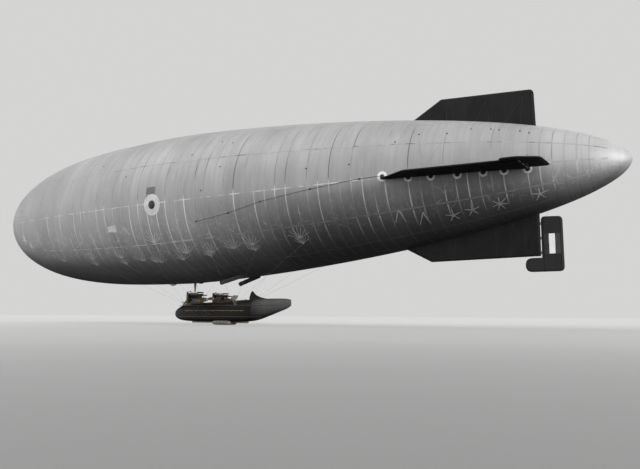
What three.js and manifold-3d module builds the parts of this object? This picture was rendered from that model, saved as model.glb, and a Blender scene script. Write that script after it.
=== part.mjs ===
// Twin-engine non-rigid airship of the 1919 type, a model at 1:2.
// Frame: millimetres, +X towards the bow, +Y to port, +Z up.
// The origin is the centre of buoyancy, on the axis of the envelope.
// Real sizes are in metres of the full-size ship, times "metre".
// A station is the distance aft of the bow, measured along the axis.
import * as THREE from 'three';
import { mergeVertices } from 'three/addons/utils/BufferGeometryUtils.js';
import Module from 'manifold-3d';

const wasm = await Module();
wasm.setup();

// Driving dimensions
const MODEL_SCALE = 0.5;
const metre = 1000 * MODEL_SCALE;
const LENGTH = 58.52;
const RADIUS = 6.4;
const BUOYANCY_STATION = 25.46;
const BOW_SHARE = 0.397;
const BOW_POWER = 3.0;
const TAIL_POWER = 1.42;
const TAIL_BLUNTNESS = 0.54;
const ENVELOPE_WALL = 10;
const ENVELOPE_GORES = 40;
const ENVELOPE_RINGS = 24;
const SEAT_GAP = 0.3;

const HINGE_STATION = 53.25;
const FIN_THICKNESS = 0.16;
const SIDE_FIN_LEVEL = -0.42;

const ENGINE_OFFSET = 1.55;
const SHAFT_LEVEL = -7.85;
const PROPELLER_STATION = 27.3;
const PROPELLER_RADIUS = 0.96;

const CAR_WALL = 0.04;
const GUNWALE_LEVEL = -8.3;
const FLOOR_LEVEL = -9.36;
const CABIN_FORE = 23.1;
const CABIN_AFT = 31.2;
const CABIN_FRAME = 26.7;

const SIDES = [['port', 1], ['starboard', -1]];

const ship = new THREE.Group();

// Finishes
const finish = {
  envelope: { color: 0xa9a8a2, roughness: 0.6, metalness: 0.15 },
  fin: { color: 0x2b2b2a, roughness: 0.75, metalness: 0 },
  car: { color: 0x5c5d5b, roughness: 0.55, metalness: 0.1 },
  deck: { color: 0x4b4c4a, roughness: 0.6, metalness: 0.1 },
  wood: { color: 0x7a5d3c, roughness: 0.6, metalness: 0 },
  steel: { color: 0x6d6f70, roughness: 0.45, metalness: 0.8 },
  cast: { color: 0x707172, roughness: 0.5, metalness: 0.7 },
  brass: { color: 0x9a8350, roughness: 0.4, metalness: 0.9 },
  light: { color: 0xd2d0c8, roughness: 0.5, metalness: 0.2 },
  leather: { color: 0x4a3426, roughness: 0.7, metalness: 0 },
  rubber: { color: 0x8f8b80, roughness: 0.85, metalness: 0 },
  glass: { color: 0xbfcfd2, roughness: 0.1, metalness: 0 },
};

// Places
const at = (station, across, level) =>
  new THREE.Vector3((BUOYANCY_STATION - station) * metre, across * metre, level * metre);

function hullRadius(station) {
  const share = THREE.MathUtils.clamp(station / LENGTH, 0, 1);
  if (share < BOW_SHARE) {
    return RADIUS * Math.sqrt(Math.max(0, 1 - (1 - share / BOW_SHARE) ** BOW_POWER));
  }
  const aft = (share - BOW_SHARE) / (1 - BOW_SHARE);
  return RADIUS * Math.max(0, 1 - aft ** TAIL_POWER) ** TAIL_BLUNTNESS;
}

// Solids
function solid(geometry) {
  const bare = geometry.clone();
  bare.deleteAttribute('normal');
  bare.deleteAttribute('uv');
  const merged = mergeVertices(bare, 0.001);
  const body = new wasm.Manifold(new wasm.Mesh({
    numProp: 3,
    vertProperties: new Float32Array(merged.attributes.position.array),
    triVerts: new Uint32Array(merged.index.array),
  }));
  return body;
}

const union = (solids) => solids.reduce((whole, piece) => whole.add(piece));
const cut = (body, ...tools) => tools.reduce((left, tool) => left.subtract(tool), body);

function add(name, body, look) {
  const mesh = body.getMesh();
  const geometry = new THREE.BufferGeometry();
  geometry.setAttribute('position', new THREE.BufferAttribute(mesh.vertProperties, 3));
  geometry.setIndex(new THREE.BufferAttribute(mesh.triVerts, 1));
  const shaped = geometry.toNonIndexed();
  shaped.computeVertexNormals();
  const piece = new THREE.Mesh(shaped, new THREE.MeshStandardMaterial(finish[look]));
  piece.name = name;
  ship.add(piece);
}

function box(low, high) {
  const size = new THREE.Vector3().subVectors(high, low);
  const across = new THREE.Vector3(Math.abs(size.x), Math.abs(size.y), Math.abs(size.z));
  const middle = new THREE.Vector3().addVectors(low, high).multiplyScalar(0.5);
  const geometry = new THREE.BoxGeometry(across.x, across.y, across.z);
  return solid(geometry.translate(middle.x, middle.y, middle.z));
}

function rod(from, to, radius, sides = 10, endRadius = radius) {
  const along = new THREE.Vector3().subVectors(to, from);
  const geometry = new THREE.CylinderGeometry(endRadius, radius, along.length(), sides);
  geometry.translate(0, along.length() / 2, 0);
  const turn = new THREE.Quaternion().setFromUnitVectors(
    new THREE.Vector3(0, 1, 0), along.normalize());
  geometry.applyQuaternion(turn);
  return solid(geometry.translate(from.x, from.y, from.z));
}

function ball(centre, radius, sides = 10) {
  const geometry = new THREE.SphereGeometry(radius, sides, Math.round(sides / 2) + 1);
  return solid(geometry.translate(centre.x, centre.y, centre.z));
}

// A closed body over rings of equal counts, with a flat fan at each end.
function loft(rings) {
  const count = rings[0].length;
  const points = rings.flat();
  const faces = [];
  for (let ring = 0; ring + 1 < rings.length; ring += 1) {
    for (let i = 0; i < count; i += 1) {
      const a = ring * count + i;
      const b = ring * count + (i + 1) % count;
      faces.push(a, b, a + count, b, b + count, a + count);
    }
  }
  const middle = (ring) => ring.reduce((sum, p) => sum.add(p), new THREE.Vector3())
    .divideScalar(count);
  const last = (rings.length - 1) * count;
  points.push(middle(rings[0]), middle(rings[rings.length - 1]));
  for (let i = 0; i < count; i += 1) {
    const next = (i + 1) % count;
    faces.push(next, i, points.length - 2);
    faces.push(last + i, last + next, points.length - 1);
  }
  const geometry = new THREE.BufferGeometry();
  geometry.setAttribute('position', new THREE.Float32BufferAttribute(
    points.flatMap((p) => [p.x, p.y, p.z]), 3));
  geometry.setIndex(faces);
  const body = solid(geometry);
  if (body.volume() > 0) return body;
  geometry.setIndex(faces.reverse());
  return solid(geometry);
}

// A plate over a flat outline, half of it on each side of the plane, with bevelled edges.
function plate(outline, thickness, bevelDepth, bevelReach) {
  const geometry = new THREE.ExtrudeGeometry(outline, {
    depth: thickness - 2 * bevelDepth,
    bevelEnabled: bevelDepth > 0,
    bevelThickness: bevelDepth,
    bevelSize: bevelReach,
    bevelOffset: -bevelReach,
    bevelSegments: 1,
    curveSegments: 6,
  });
  return geometry.translate(0, 0, -thickness / 2 + bevelDepth);
}

// An outline with its corners rounded: rows of [x, y, corner radius].
function rounded(rows) {
  const shape = new THREE.Shape();
  const count = rows.length;
  rows.forEach(([x, y, radius], i) => {
    const corner = new THREE.Vector2(x, y);
    const before = new THREE.Vector2(...rows[(i + count - 1) % count].slice(0, 2)).sub(corner);
    const after = new THREE.Vector2(...rows[(i + 1) % count].slice(0, 2)).sub(corner);
    const turn = Math.acos(before.clone().normalize().dot(after.clone().normalize()));
    const reach = radius / Math.tan(turn / 2);
    const enter = corner.clone().add(before.setLength(reach));
    const leave = corner.clone().add(after.setLength(reach));
    if (i === 0) shape.moveTo(enter.x, enter.y);
    else shape.lineTo(enter.x, enter.y);
    if (radius > 0) shape.quadraticCurveTo(x, y, leave.x, leave.y);
  });
  shape.closePath();
  return shape;
}

// Envelope: a body of revolution in 10 mm cloth and gas, open at the two air scoops.
function hullProfile(offset) {
  const stations = [];
  for (let i = 0; i <= ENVELOPE_RINGS; i += 1) {
    stations.push(LENGTH * (1 - Math.cos(Math.PI * i / ENVELOPE_RINGS)) / 2);
  }
  const points = stations.map((s) => new THREE.Vector2(hullRadius(s) * metre, -s * metre));
  return points.map((point, i) => {
    if (i === 0) return new THREE.Vector2(0, point.y + offset);
    if (i === ENVELOPE_RINGS) return new THREE.Vector2(0, point.y - offset);
    const along = new THREE.Vector2().subVectors(points[i - 1], points[i + 1]).normalize();
    return new THREE.Vector2(point.x + along.y * offset, point.y - along.x * offset);
  });
}

function hullBody(offset) {
  const geometry = new THREE.LatheGeometry(hullProfile(offset).reverse(), ENVELOPE_GORES);
  geometry.rotateZ(-Math.PI / 2);
  geometry.translate(BUOYANCY_STATION * metre, 0, 0);
  return solid(geometry);
}

const hullOuter = hullBody(0);
const hullSeat = hullBody(SEAT_GAP);
const seated = (body) => body.subtract(hullSeat);

// Air scoops behind the propellers: [station, across, level] of the mouth and of the neck.
const SCOOP_MOUTH = [28.5, 1.2, -6.5];
const SCOOP_NECK = [30.6, 0.9, -5.94];
const SCOOP_RADIUS = 0.18;
const SCOOP_WALL = 8;
const SCOOP_SIDES = 12;
const SCOOP_TAIL = 0.25;
const scoopLine = (side) => {
  const mouth = at(SCOOP_MOUTH[0], side * SCOOP_MOUTH[1], SCOOP_MOUTH[2]);
  const neck = at(SCOOP_NECK[0], side * SCOOP_NECK[1], SCOOP_NECK[2]);
  const along = new THREE.Vector3().subVectors(neck, mouth).normalize();
  return { mouth, neck, along };
};

const scoopBores = SIDES.map(([, side]) => {
  const { mouth, neck, along } = scoopLine(side);
  const inside = neck.clone().addScaledVector(along, 2 * SCOOP_TAIL * metre);
  return rod(mouth, inside, SCOOP_RADIUS * metre - SCOOP_WALL, SCOOP_SIDES);
});
add('envelope', cut(hullOuter, hullBody(-ENVELOPE_WALL), ...scoopBores), 'envelope');

SIDES.forEach(([name, side]) => {
  const { mouth, neck, along } = scoopLine(side);
  const top = neck.clone().addScaledVector(along, SCOOP_TAIL * metre);
  const tube = rod(mouth, top, SCOOP_RADIUS * metre, SCOOP_SIDES);
  const before = mouth.clone().addScaledVector(along, -SCOOP_TAIL * metre);
  const through = top.clone().addScaledVector(along, SCOOP_TAIL * metre);
  const bore = rod(before, through, SCOOP_RADIUS * metre - SCOOP_WALL, SCOOP_SIDES);
  add(`air_scoop_${name}`, cut(seated(tube), bore), 'fin');
});

// Gas valves on the sides: a light patch that follows the skin, with a domed lid in its middle.
const VALVE_STATION = 25.75;
const VALVE_ANGLE = -6;
const VALVE_RADIUS = 0.83;
const VALVE_PATCH_THICKNESS = 0.03;
const VALVE_LID = [0.33, 0.2, 0.12];
SIDES.forEach(([name, side]) => {
  const tilt = THREE.MathUtils.degToRad(VALVE_ANGLE);
  const out = new THREE.Vector3(0, side * Math.cos(tilt), Math.sin(tilt));
  const foot = at(VALVE_STATION, 0, 0);
  const place = (reach) => foot.clone().addScaledVector(out, reach * metre);
  const skin = hullRadius(VALVE_STATION);
  const patch = rod(place(skin - 0.3), place(skin + 0.3), VALVE_RADIUS * metre, 24)
    .intersect(hullBody(VALVE_PATCH_THICKNESS * metre));
  const [lidFoot, lidTop, lidRise] = VALVE_LID;
  const lid = rod(place(skin - 0.1), place(skin + lidRise), lidFoot * metre, 20, lidTop * metre);
  add(`gas_valve_${name}`, seated(union([patch, lid])), 'light');
});

// Air valves and the filling sleeve under the belly: [name, station, radius, drop].
const BELLY_VALVES = [
  ['air_valve_fore', 21.9, 0.3, 0.14],
  ['air_valve_aft', 25.2, 0.24, 0.1],
];
BELLY_VALVES.forEach(([name, station, radius, drop]) => {
  const skin = -hullRadius(station);
  const ring = rod(at(station, 0, skin + 0.2), at(station, 0, skin - drop * 0.5), radius * metre, 16);
  const dome = rod(at(station, 0, skin), at(station, 0, skin - drop),
    radius * 0.8 * metre, 16, radius * 0.5 * metre);
  add(name, seated(union([ring, dome])), name === 'air_valve_fore' ? 'light' : 'fin');
});

const SLEEVE_STATION = 24.55;
const SLEEVE_DROP = 0.9;
const sleeveTop = -hullRadius(SLEEVE_STATION);
add('filling_sleeve', seated(union([
  rod(at(SLEEVE_STATION, 0, sleeveTop - SLEEVE_DROP), at(SLEEVE_STATION, 0, sleeveTop + 0.2),
    0.05 * metre, 10, 0.11 * metre),
  rod(at(SLEEVE_STATION, 0, sleeveTop - SLEEVE_DROP),
    at(SLEEVE_STATION, 0, sleeveTop - SLEEVE_DROP + 0.06), 0.07 * metre, 10),
])), 'rubber');

// Fins, rudder and elevators: framed panels under doped cloth.
// Outline rows are [station, height from the axis, corner radius].
const TOP_FIN = [
  [44.2, 3.9, 0], [44.75, 4.42, 0], [47.0, 5.68, 0.25],
  [53.15, 5.22, 0.35], [53.22, 2.6, 0], [50, 2.4, 0],
];
const BOTTOM_FIN = [
  [43.6, 4.1, 0], [44.05, 4.4, 0], [46.12, 5.48, 0.25],
  [53.22, 5.4, 0], [53.22, 2.6, 0], [50, 2.4, 0],
];
const SIDE_FIN = [
  [43.85, 3.9, 0], [44.5, 4.42, 0], [46.6, 5.7, 0.25],
  [53.22, 4.9, 0], [53.22, 2.6, 0], [50, 2.4, 0],
];
const RUDDER = [
  [53.28, 2.96, 0.25], [54.54, 3.02, 0.3], [54.55, 6.36, 0.3],
  [52.28, 6.36, 0.42], [52.28, 5.5, 0.42], [53.28, 5.5, 0],
];
const ELEVATOR = [
  [53.28, 2.9, 0.17], [54.55, 2.72, 0.17], [54.5, 4.75, 0.5],
  [53.3, 5.45, 0.3], [52.35, 5.48, 0.22], [52.35, 5.04, 0.2], [53.28, 5.0, 0],
];
const fromBow = (rows, side) => rounded(rows.map(([station, height, radius]) =>
  [(BUOYANCY_STATION - station) * metre, side * height * metre, radius * metre]));

function panel(rows, side) {
  return plate(fromBow(rows, side), FIN_THICKNESS * metre, 0.055 * metre, 0.11 * metre);
}
const upright = (rows, side) => solid(panel(rows, side).rotateX(Math.PI / 2));
const level = (rows, side) => solid(panel(rows, side).translate(0, 0, SIDE_FIN_LEVEL * metre));

// Hinge barrels: the fixed one and the moving one share the axis, end to end.
const BARREL_RADIUS = 0.018;
const BARREL_LENGTH = 0.09;
const LUG_RADIUS = 0.012;
const LUG_REACH = 0.14;
function hingeBarrels(point, towards, places) {
  const fixed = [];
  const moving = [];
  const forward = new THREE.Vector3(1, 0, 0);
  places.forEach((place) => {
    const start = point.clone().addScaledVector(towards, place * metre);
    [[fixed, -1, 1], [moving, 1, -1]].forEach(([list, sense, lug]) => {
      const near = start.clone().addScaledVector(towards, sense * SEAT_GAP / 2);
      const far = start.clone().addScaledVector(towards, sense * BARREL_LENGTH * metre);
      list.push(rod(near, far, BARREL_RADIUS * metre, 12));
      const inner = near.clone().lerp(far, 0.5);
      const root = inner.clone().addScaledVector(forward, lug * LUG_REACH * metre);
      list.push(rod(inner, root, LUG_RADIUS * metre, 8));
    });
  });
  return { fixed, moving };
}

const rudderHinge = hingeBarrels(at(HINGE_STATION, 0, 0), new THREE.Vector3(0, 0, 1),
  [-3.4, -4.3, -5.2]);
add('top_fin', seated(upright(TOP_FIN, 1)), 'fin');
add('bottom_fin', seated(union([upright(BOTTOM_FIN, -1), ...rudderHinge.fixed])), 'fin');
add('rudder', union([upright(RUDDER, -1), ...rudderHinge.moving]), 'fin');
SIDES.forEach(([name, side]) => {
  const hinge = hingeBarrels(at(HINGE_STATION, 0, SIDE_FIN_LEVEL),
    new THREE.Vector3(0, side, 0), [3.15, 3.95, 4.7]);
  add(`side_fin_${name}`, seated(union([level(SIDE_FIN, side), ...hinge.fixed])), 'fin');
  add(`elevator_${name}`, union([level(ELEVATOR, side), ...hinge.moving]), 'fin');
});

// Car: a streamlined body. Rows are [station, top, bottom, half width].
const CAR_SECTIONS = [
  [22.38, -8.9, -9.06, 0.06],
  [22.46, -8.76, -9.17, 0.17],
  [22.7, -8.58, -9.34, 0.33],
  [23.3, -8.32, -9.52, 0.54],
  [24.5, -8.16, -9.6, 0.7],
  [26.3, -8.09, -9.62, 0.76],
  [28.4, -8.0, -9.62, 0.76],
  [30.3, -7.88, -9.58, 0.72],
  [31.3, -7.81, -9.46, 0.66],
  [32.2, -7.78, -9.2, 0.55],
  [33.3, -7.77, -8.85, 0.37],
  [34.2, -7.8, -8.55, 0.2],
  [34.55, -7.87, -8.35, 0.11],
];
const SECTION_POINTS = 24;
const SECTION_POWER = 2.9;

function carSection([station, top, bottom, half], inset) {
  const ring = [];
  const rise = (top - bottom) / 2 - inset;
  const width = half - inset;
  for (let i = 0; i < SECTION_POINTS; i += 1) {
    const angle = 2 * Math.PI * i / SECTION_POINTS;
    const bulge = (value) => Math.sign(value) * Math.abs(value) ** (2 / SECTION_POWER);
    ring.push(at(station, width * bulge(Math.cos(angle)),
      (top + bottom) / 2 + rise * bulge(Math.sin(angle))));
  }
  return ring;
}

const carBody = (inset, rows = CAR_SECTIONS) => loft(rows.map((row) => carSection(row, inset)));
const slab = (fromStation, toStation, low, high) =>
  box(at(fromStation, -3, low), at(toStation, 3, high));
const half = SEAT_GAP / 2 / metre;
const hold = carBody(CAR_WALL, CAR_SECTIONS.slice(2, 10))
  .intersect(slab(CABIN_FORE + CAR_WALL, CABIN_AFT - CAR_WALL, -12, -6));
const cabin = carBody(0).intersect(slab(CABIN_FORE + half, CABIN_AFT - half, -12, -6));

// Cockpits: [name, windscreen foot, opening fore, opening aft, half width, has a wheel].
const COCKPITS = [
  ['coxswain', 23.35, 23.8, 24.6, 0.3, true],
  ['pilot', 25.1, 25.55, 26.4, 0.34, true],
  ['mechanic', 26.85, 27.3, 28.15, 0.34, false],
  ['wireless', 28.6, 29.1, 30.2, 0.34, false],
];
const cockpitHoles = COCKPITS.map(([, , fore, aft, reach]) => {
  const x0 = (BUOYANCY_STATION - fore) * metre;
  const x1 = (BUOYANCY_STATION - aft) * metre;
  const y = reach * metre;
  const hole = rounded([[x0, -y, 0.15 * metre], [x0, y, 0.15 * metre],
    [x1, y, 0.15 * metre], [x1, -y, 0.15 * metre]]);
  return solid(plate(hole, metre, 0, 0).translate(0, 0, (GUNWALE_LEVEL + 0.2) * metre));
});

add('car_nose', carBody(0).intersect(slab(20, CABIN_FORE - half, -12, -6)), 'car');
[['fore', CABIN_FORE, CABIN_FRAME], ['aft', CABIN_FRAME, CABIN_AFT]].forEach(([where, from, to]) => {
  const shell = (low, high) => cut(cabin.intersect(slab(from + half, to - half, low, high)), hold,
    ...cockpitHoles);
  add(`car_tub_${where}`, shell(-12, GUNWALE_LEVEL - half), 'car');
  add(`car_deck_${where}`, shell(GUNWALE_LEVEL + half, -6), 'deck');
});
add('car_tail', carBody(0).intersect(slab(CABIN_AFT + half, 40, -12, -6)), 'car');

const FLOOR_THICKNESS = 0.03;
add('car_floor', carBody(CAR_WALL + SEAT_GAP / metre, CAR_SECTIONS.slice(2, 10))
  .intersect(box(at(CABIN_FORE + CAR_WALL + half * 2, -2, FLOOR_LEVEL),
    at(CABIN_AFT - CAR_WALL - half * 2, 2, FLOOR_LEVEL - FLOOR_THICKNESS))), 'wood');

// Seats, wheels and windscreens of the cockpits
const SEAT_LEVEL = -8.95;
const gap = SEAT_GAP / metre;
function deckTop(station) {
  const next = CAR_SECTIONS.findIndex((row) => row[0] > station);
  const [s0, t0] = CAR_SECTIONS[next - 1];
  const [s1, t1] = CAR_SECTIONS[next];
  return t0 + (t1 - t0) * (station - s0) / (s1 - s0);
}
const carSeat = carBody(-SEAT_GAP / metre);
COCKPITS.forEach(([name, screen, , aft, reach, wheel]) => {
  const seatAft = aft + 0.05;
  add(`seat_${name}`, union([
    box(at(seatAft - 0.5, -0.22, SEAT_LEVEL - 0.06), at(seatAft, 0.22, SEAT_LEVEL)),
    box(at(seatAft - 0.08, -0.22, SEAT_LEVEL - 0.06), at(seatAft, 0.22, SEAT_LEVEL + 0.5)),
    box(at(seatAft - 0.45, -0.17, FLOOR_LEVEL + gap), at(seatAft - 0.05, 0.17, SEAT_LEVEL)),
  ]), 'leather');
  const foot = deckTop(screen);
  const rise = 0.5;
  const lean = 0.48;
  const pane = [];
  [[0, -0.12], [lean, rise], [lean + 0.03, rise], [0.05, -0.12]].forEach(([back, up]) => {
    pane.push([screen + back, foot + up]);
  });
  const width = Math.min(0.36, reach + 0.02);
  const glass = loft([-width, width].map((across) =>
    pane.map(([station, height]) => at(station, across, height))));
  add(`windscreen_${name}`, cut(glass, carSeat), 'glass');
  if (!wheel) return;
  const hub = at(screen + 0.42, 0, -8.62);
  const rim = new THREE.TorusGeometry(0.2 * metre, 0.018 * metre, 6, 16);
  rim.rotateY(Math.PI / 2);
  const spokes = [0, 60, 120].map((angle) => {
    const turn = THREE.MathUtils.degToRad(angle);
    const reachOut = new THREE.Vector3(0, Math.cos(turn), Math.sin(turn))
      .multiplyScalar(0.2 * metre);
    return rod(hub.clone().sub(reachOut), hub.clone().add(reachOut), 0.009 * metre, 6);
  });
  add(`control_wheel_${name}`, union([
    solid(rim.translate(hub.x, hub.y, hub.z)), ...spokes,
    rod(hub.clone().add(at(BUOYANCY_STATION + 0.02, 0, 0)), at(screen + 0.3, 0, -8.62), 0.03 * metre, 8),
    rod(at(screen + 0.33, 0, -8.58), at(screen + 0.33, 0, FLOOR_LEVEL + gap), 0.03 * metre, 8),
  ]), 'brass');
});

// Fairing behind the last cockpit: a tall narrow hump that runs out along the tail.
const FAIRING = [
  [30.52, -7.92, 0.05], [30.6, -7.5, 0.14], [30.78, -7.16, 0.17],
  [31.1, -7.42, 0.2], [31.6, -7.64, 0.2], [32.2, -7.76, 0.12], [32.5, -7.79, 0.04],
];
add('headrest_fairing', loft(FAIRING.map(([station, top, reach]) => {
  const ring = [];
  for (let i = 0; i <= 6; i += 1) {
    const angle = Math.PI * i / 6;
    const low = -8.1;
    ring.push(at(station, reach * Math.cos(angle), low + (top - low) * Math.sin(angle) ** 0.6));
  }
  return ring;
})).subtract(carSeat), 'car');

// Keel skid and bumper bag
const SKID_LEVEL = -9.7;
const SKID_HALF_WIDTH = 0.09;
add('keel_skid', box(at(24.4, -SKID_HALF_WIDTH, SKID_LEVEL), at(25.2, SKID_HALF_WIDTH, -9.5))
  .add(box(at(24.4, -SKID_HALF_WIDTH, SKID_LEVEL), at(30.4, SKID_HALF_WIDTH, -9.58)))
  .subtract(carSeat), 'wood');

const BAG_RINGS = [
  [27.0, 0.06], [27.08, 0.17], [27.25, 0.235], [27.6, 0.25],
  [28.3, 0.25], [28.65, 0.235], [28.82, 0.17], [28.9, 0.06],
];
SIDES.forEach(([name, side]) => {
  add(`bumper_bag_${name}`, loft(BAG_RINGS.map(([station, radius]) => {
    const ring = [];
    for (let i = 0; i < 12; i += 1) {
      const angle = 2 * Math.PI * i / 12;
      ring.push(at(station, side * 0.36 + radius * Math.cos(angle),
        -9.66 + 0.8 * radius * Math.sin(angle)));
    }
    return ring;
  })).subtract(carSeat), 'rubber');
});

// Power units: outrigger, engine, radiator, cowl and propeller on each side.
// Stations are of the ship. Heights are from the shaft line, and offsets from its upright plane.
const RAIL_OFFSET = 0.2;
const RAIL_LEVEL = -8.12;
const RAIL_RADIUS = 0.035;
const RAIL_ENDS = [25.38, 27.05];
const STRUT_STATIONS = [25.54, 26.2, 26.95];
const STRUT_RADIUS = 0.025;
const CHINE_FOOT = [0.5, -9.2];
const GUNWALE_FOOT = [0.4, RAIL_LEVEL];
const HOOP = { foot: 26.95, top: 26.62, spread: 0.12, rise: 0.6, radius: 0.016 };
const CRANKCASE = {
  fore: 25.83, aft: 26.7, flangeHalf: 0.25, flangeDepth: 0.09, caseHalf: 0.16, caseTop: 0.12,
};
const SHAFT_RADIUS = 0.055;
const CYLINDERS = { count: 4, first: 25.95, pitch: 0.2, foot: 0.08, head: 0.46, radius: 0.085 };
const BANK = { spread: 0.62, rise: 0.78, foot: 0.04 };
const CAM_COVER = { fore: 25.85, aft: 26.61, up: 0.49, radius: 0.08 };
const EXHAUST = { fore: 25.89, aft: 26.95, port: 0.4, reach: 0.17, elbow: 0.03, radius: 0.042 };
const MAGNETO = { fore: 25.71, aft: 25.89, offset: 0.12, height: 0.1, radius: 0.06 };
const RADIATOR = {
  fore: 25.43, aft: 25.61, half: 0.36, top: 0.56, tankHeight: 0.58, tankRadius: 0.09,
  fillerTop: 0.74, fillerRadius: 0.045,
};
const COWL = { fore: 25.65, aft: 26.65, half: 0.38, sheet: 0.02, lip: 0.08, lapHalf: 0.3, lapLow: 0.5 };
const BLADE = [
  [0.1, 0.075, 0.05, 62], [0.24, 0.1, 0.04, 50], [0.45, 0.13, 0.032, 36],
  [0.7, 0.125, 0.024, 26], [0.92, 0.095, 0.016, 20], [1.04, 0.045, 0.01, 18],
];
const PROPELLER_TURN = 80;

function bladeSection([radius, chord, thick, pitch]) {
  const ring = [];
  const twist = THREE.MathUtils.degToRad(pitch);
  for (let i = 0; i < 10; i += 1) {
    const angle = 2 * Math.PI * i / 10;
    const across = chord * Math.cos(angle);
    const deep = thick * Math.sin(angle);
    ring.push(new THREE.Vector3(
      (deep * Math.cos(twist) + across * Math.sin(twist)) * metre,
      (across * Math.cos(twist) - deep * Math.sin(twist)) * metre, radius * metre));
  }
  return ring;
}

function propeller(centre, side) {
  const stretch = PROPELLER_RADIUS / 1.04;
  const rings = BLADE.map((row) => bladeSection([row[0] * stretch, ...row.slice(1)]));
  const blade = loft(rings);
  const other = blade.rotate([180, 0, 0]);
  const hub = rod(new THREE.Vector3(0.08 * metre, 0, 0), new THREE.Vector3(-0.08 * metre, 0, 0),
    0.13 * metre, 16);
  const boss = rod(new THREE.Vector3(-0.07 * metre, 0, 0), new THREE.Vector3(-0.2 * metre, 0, 0),
    0.09 * metre, 12, 0.03 * metre);
  const root = rod(new THREE.Vector3(0, 0, -0.14 * metre), new THREE.Vector3(0, 0, 0.14 * metre),
    0.07 * metre, 10);
  return union([hub, boss, root, blade, other]).rotate([side * PROPELLER_TURN, 0, 0])
    .translate([centre.x, centre.y, centre.z]);
}

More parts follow.
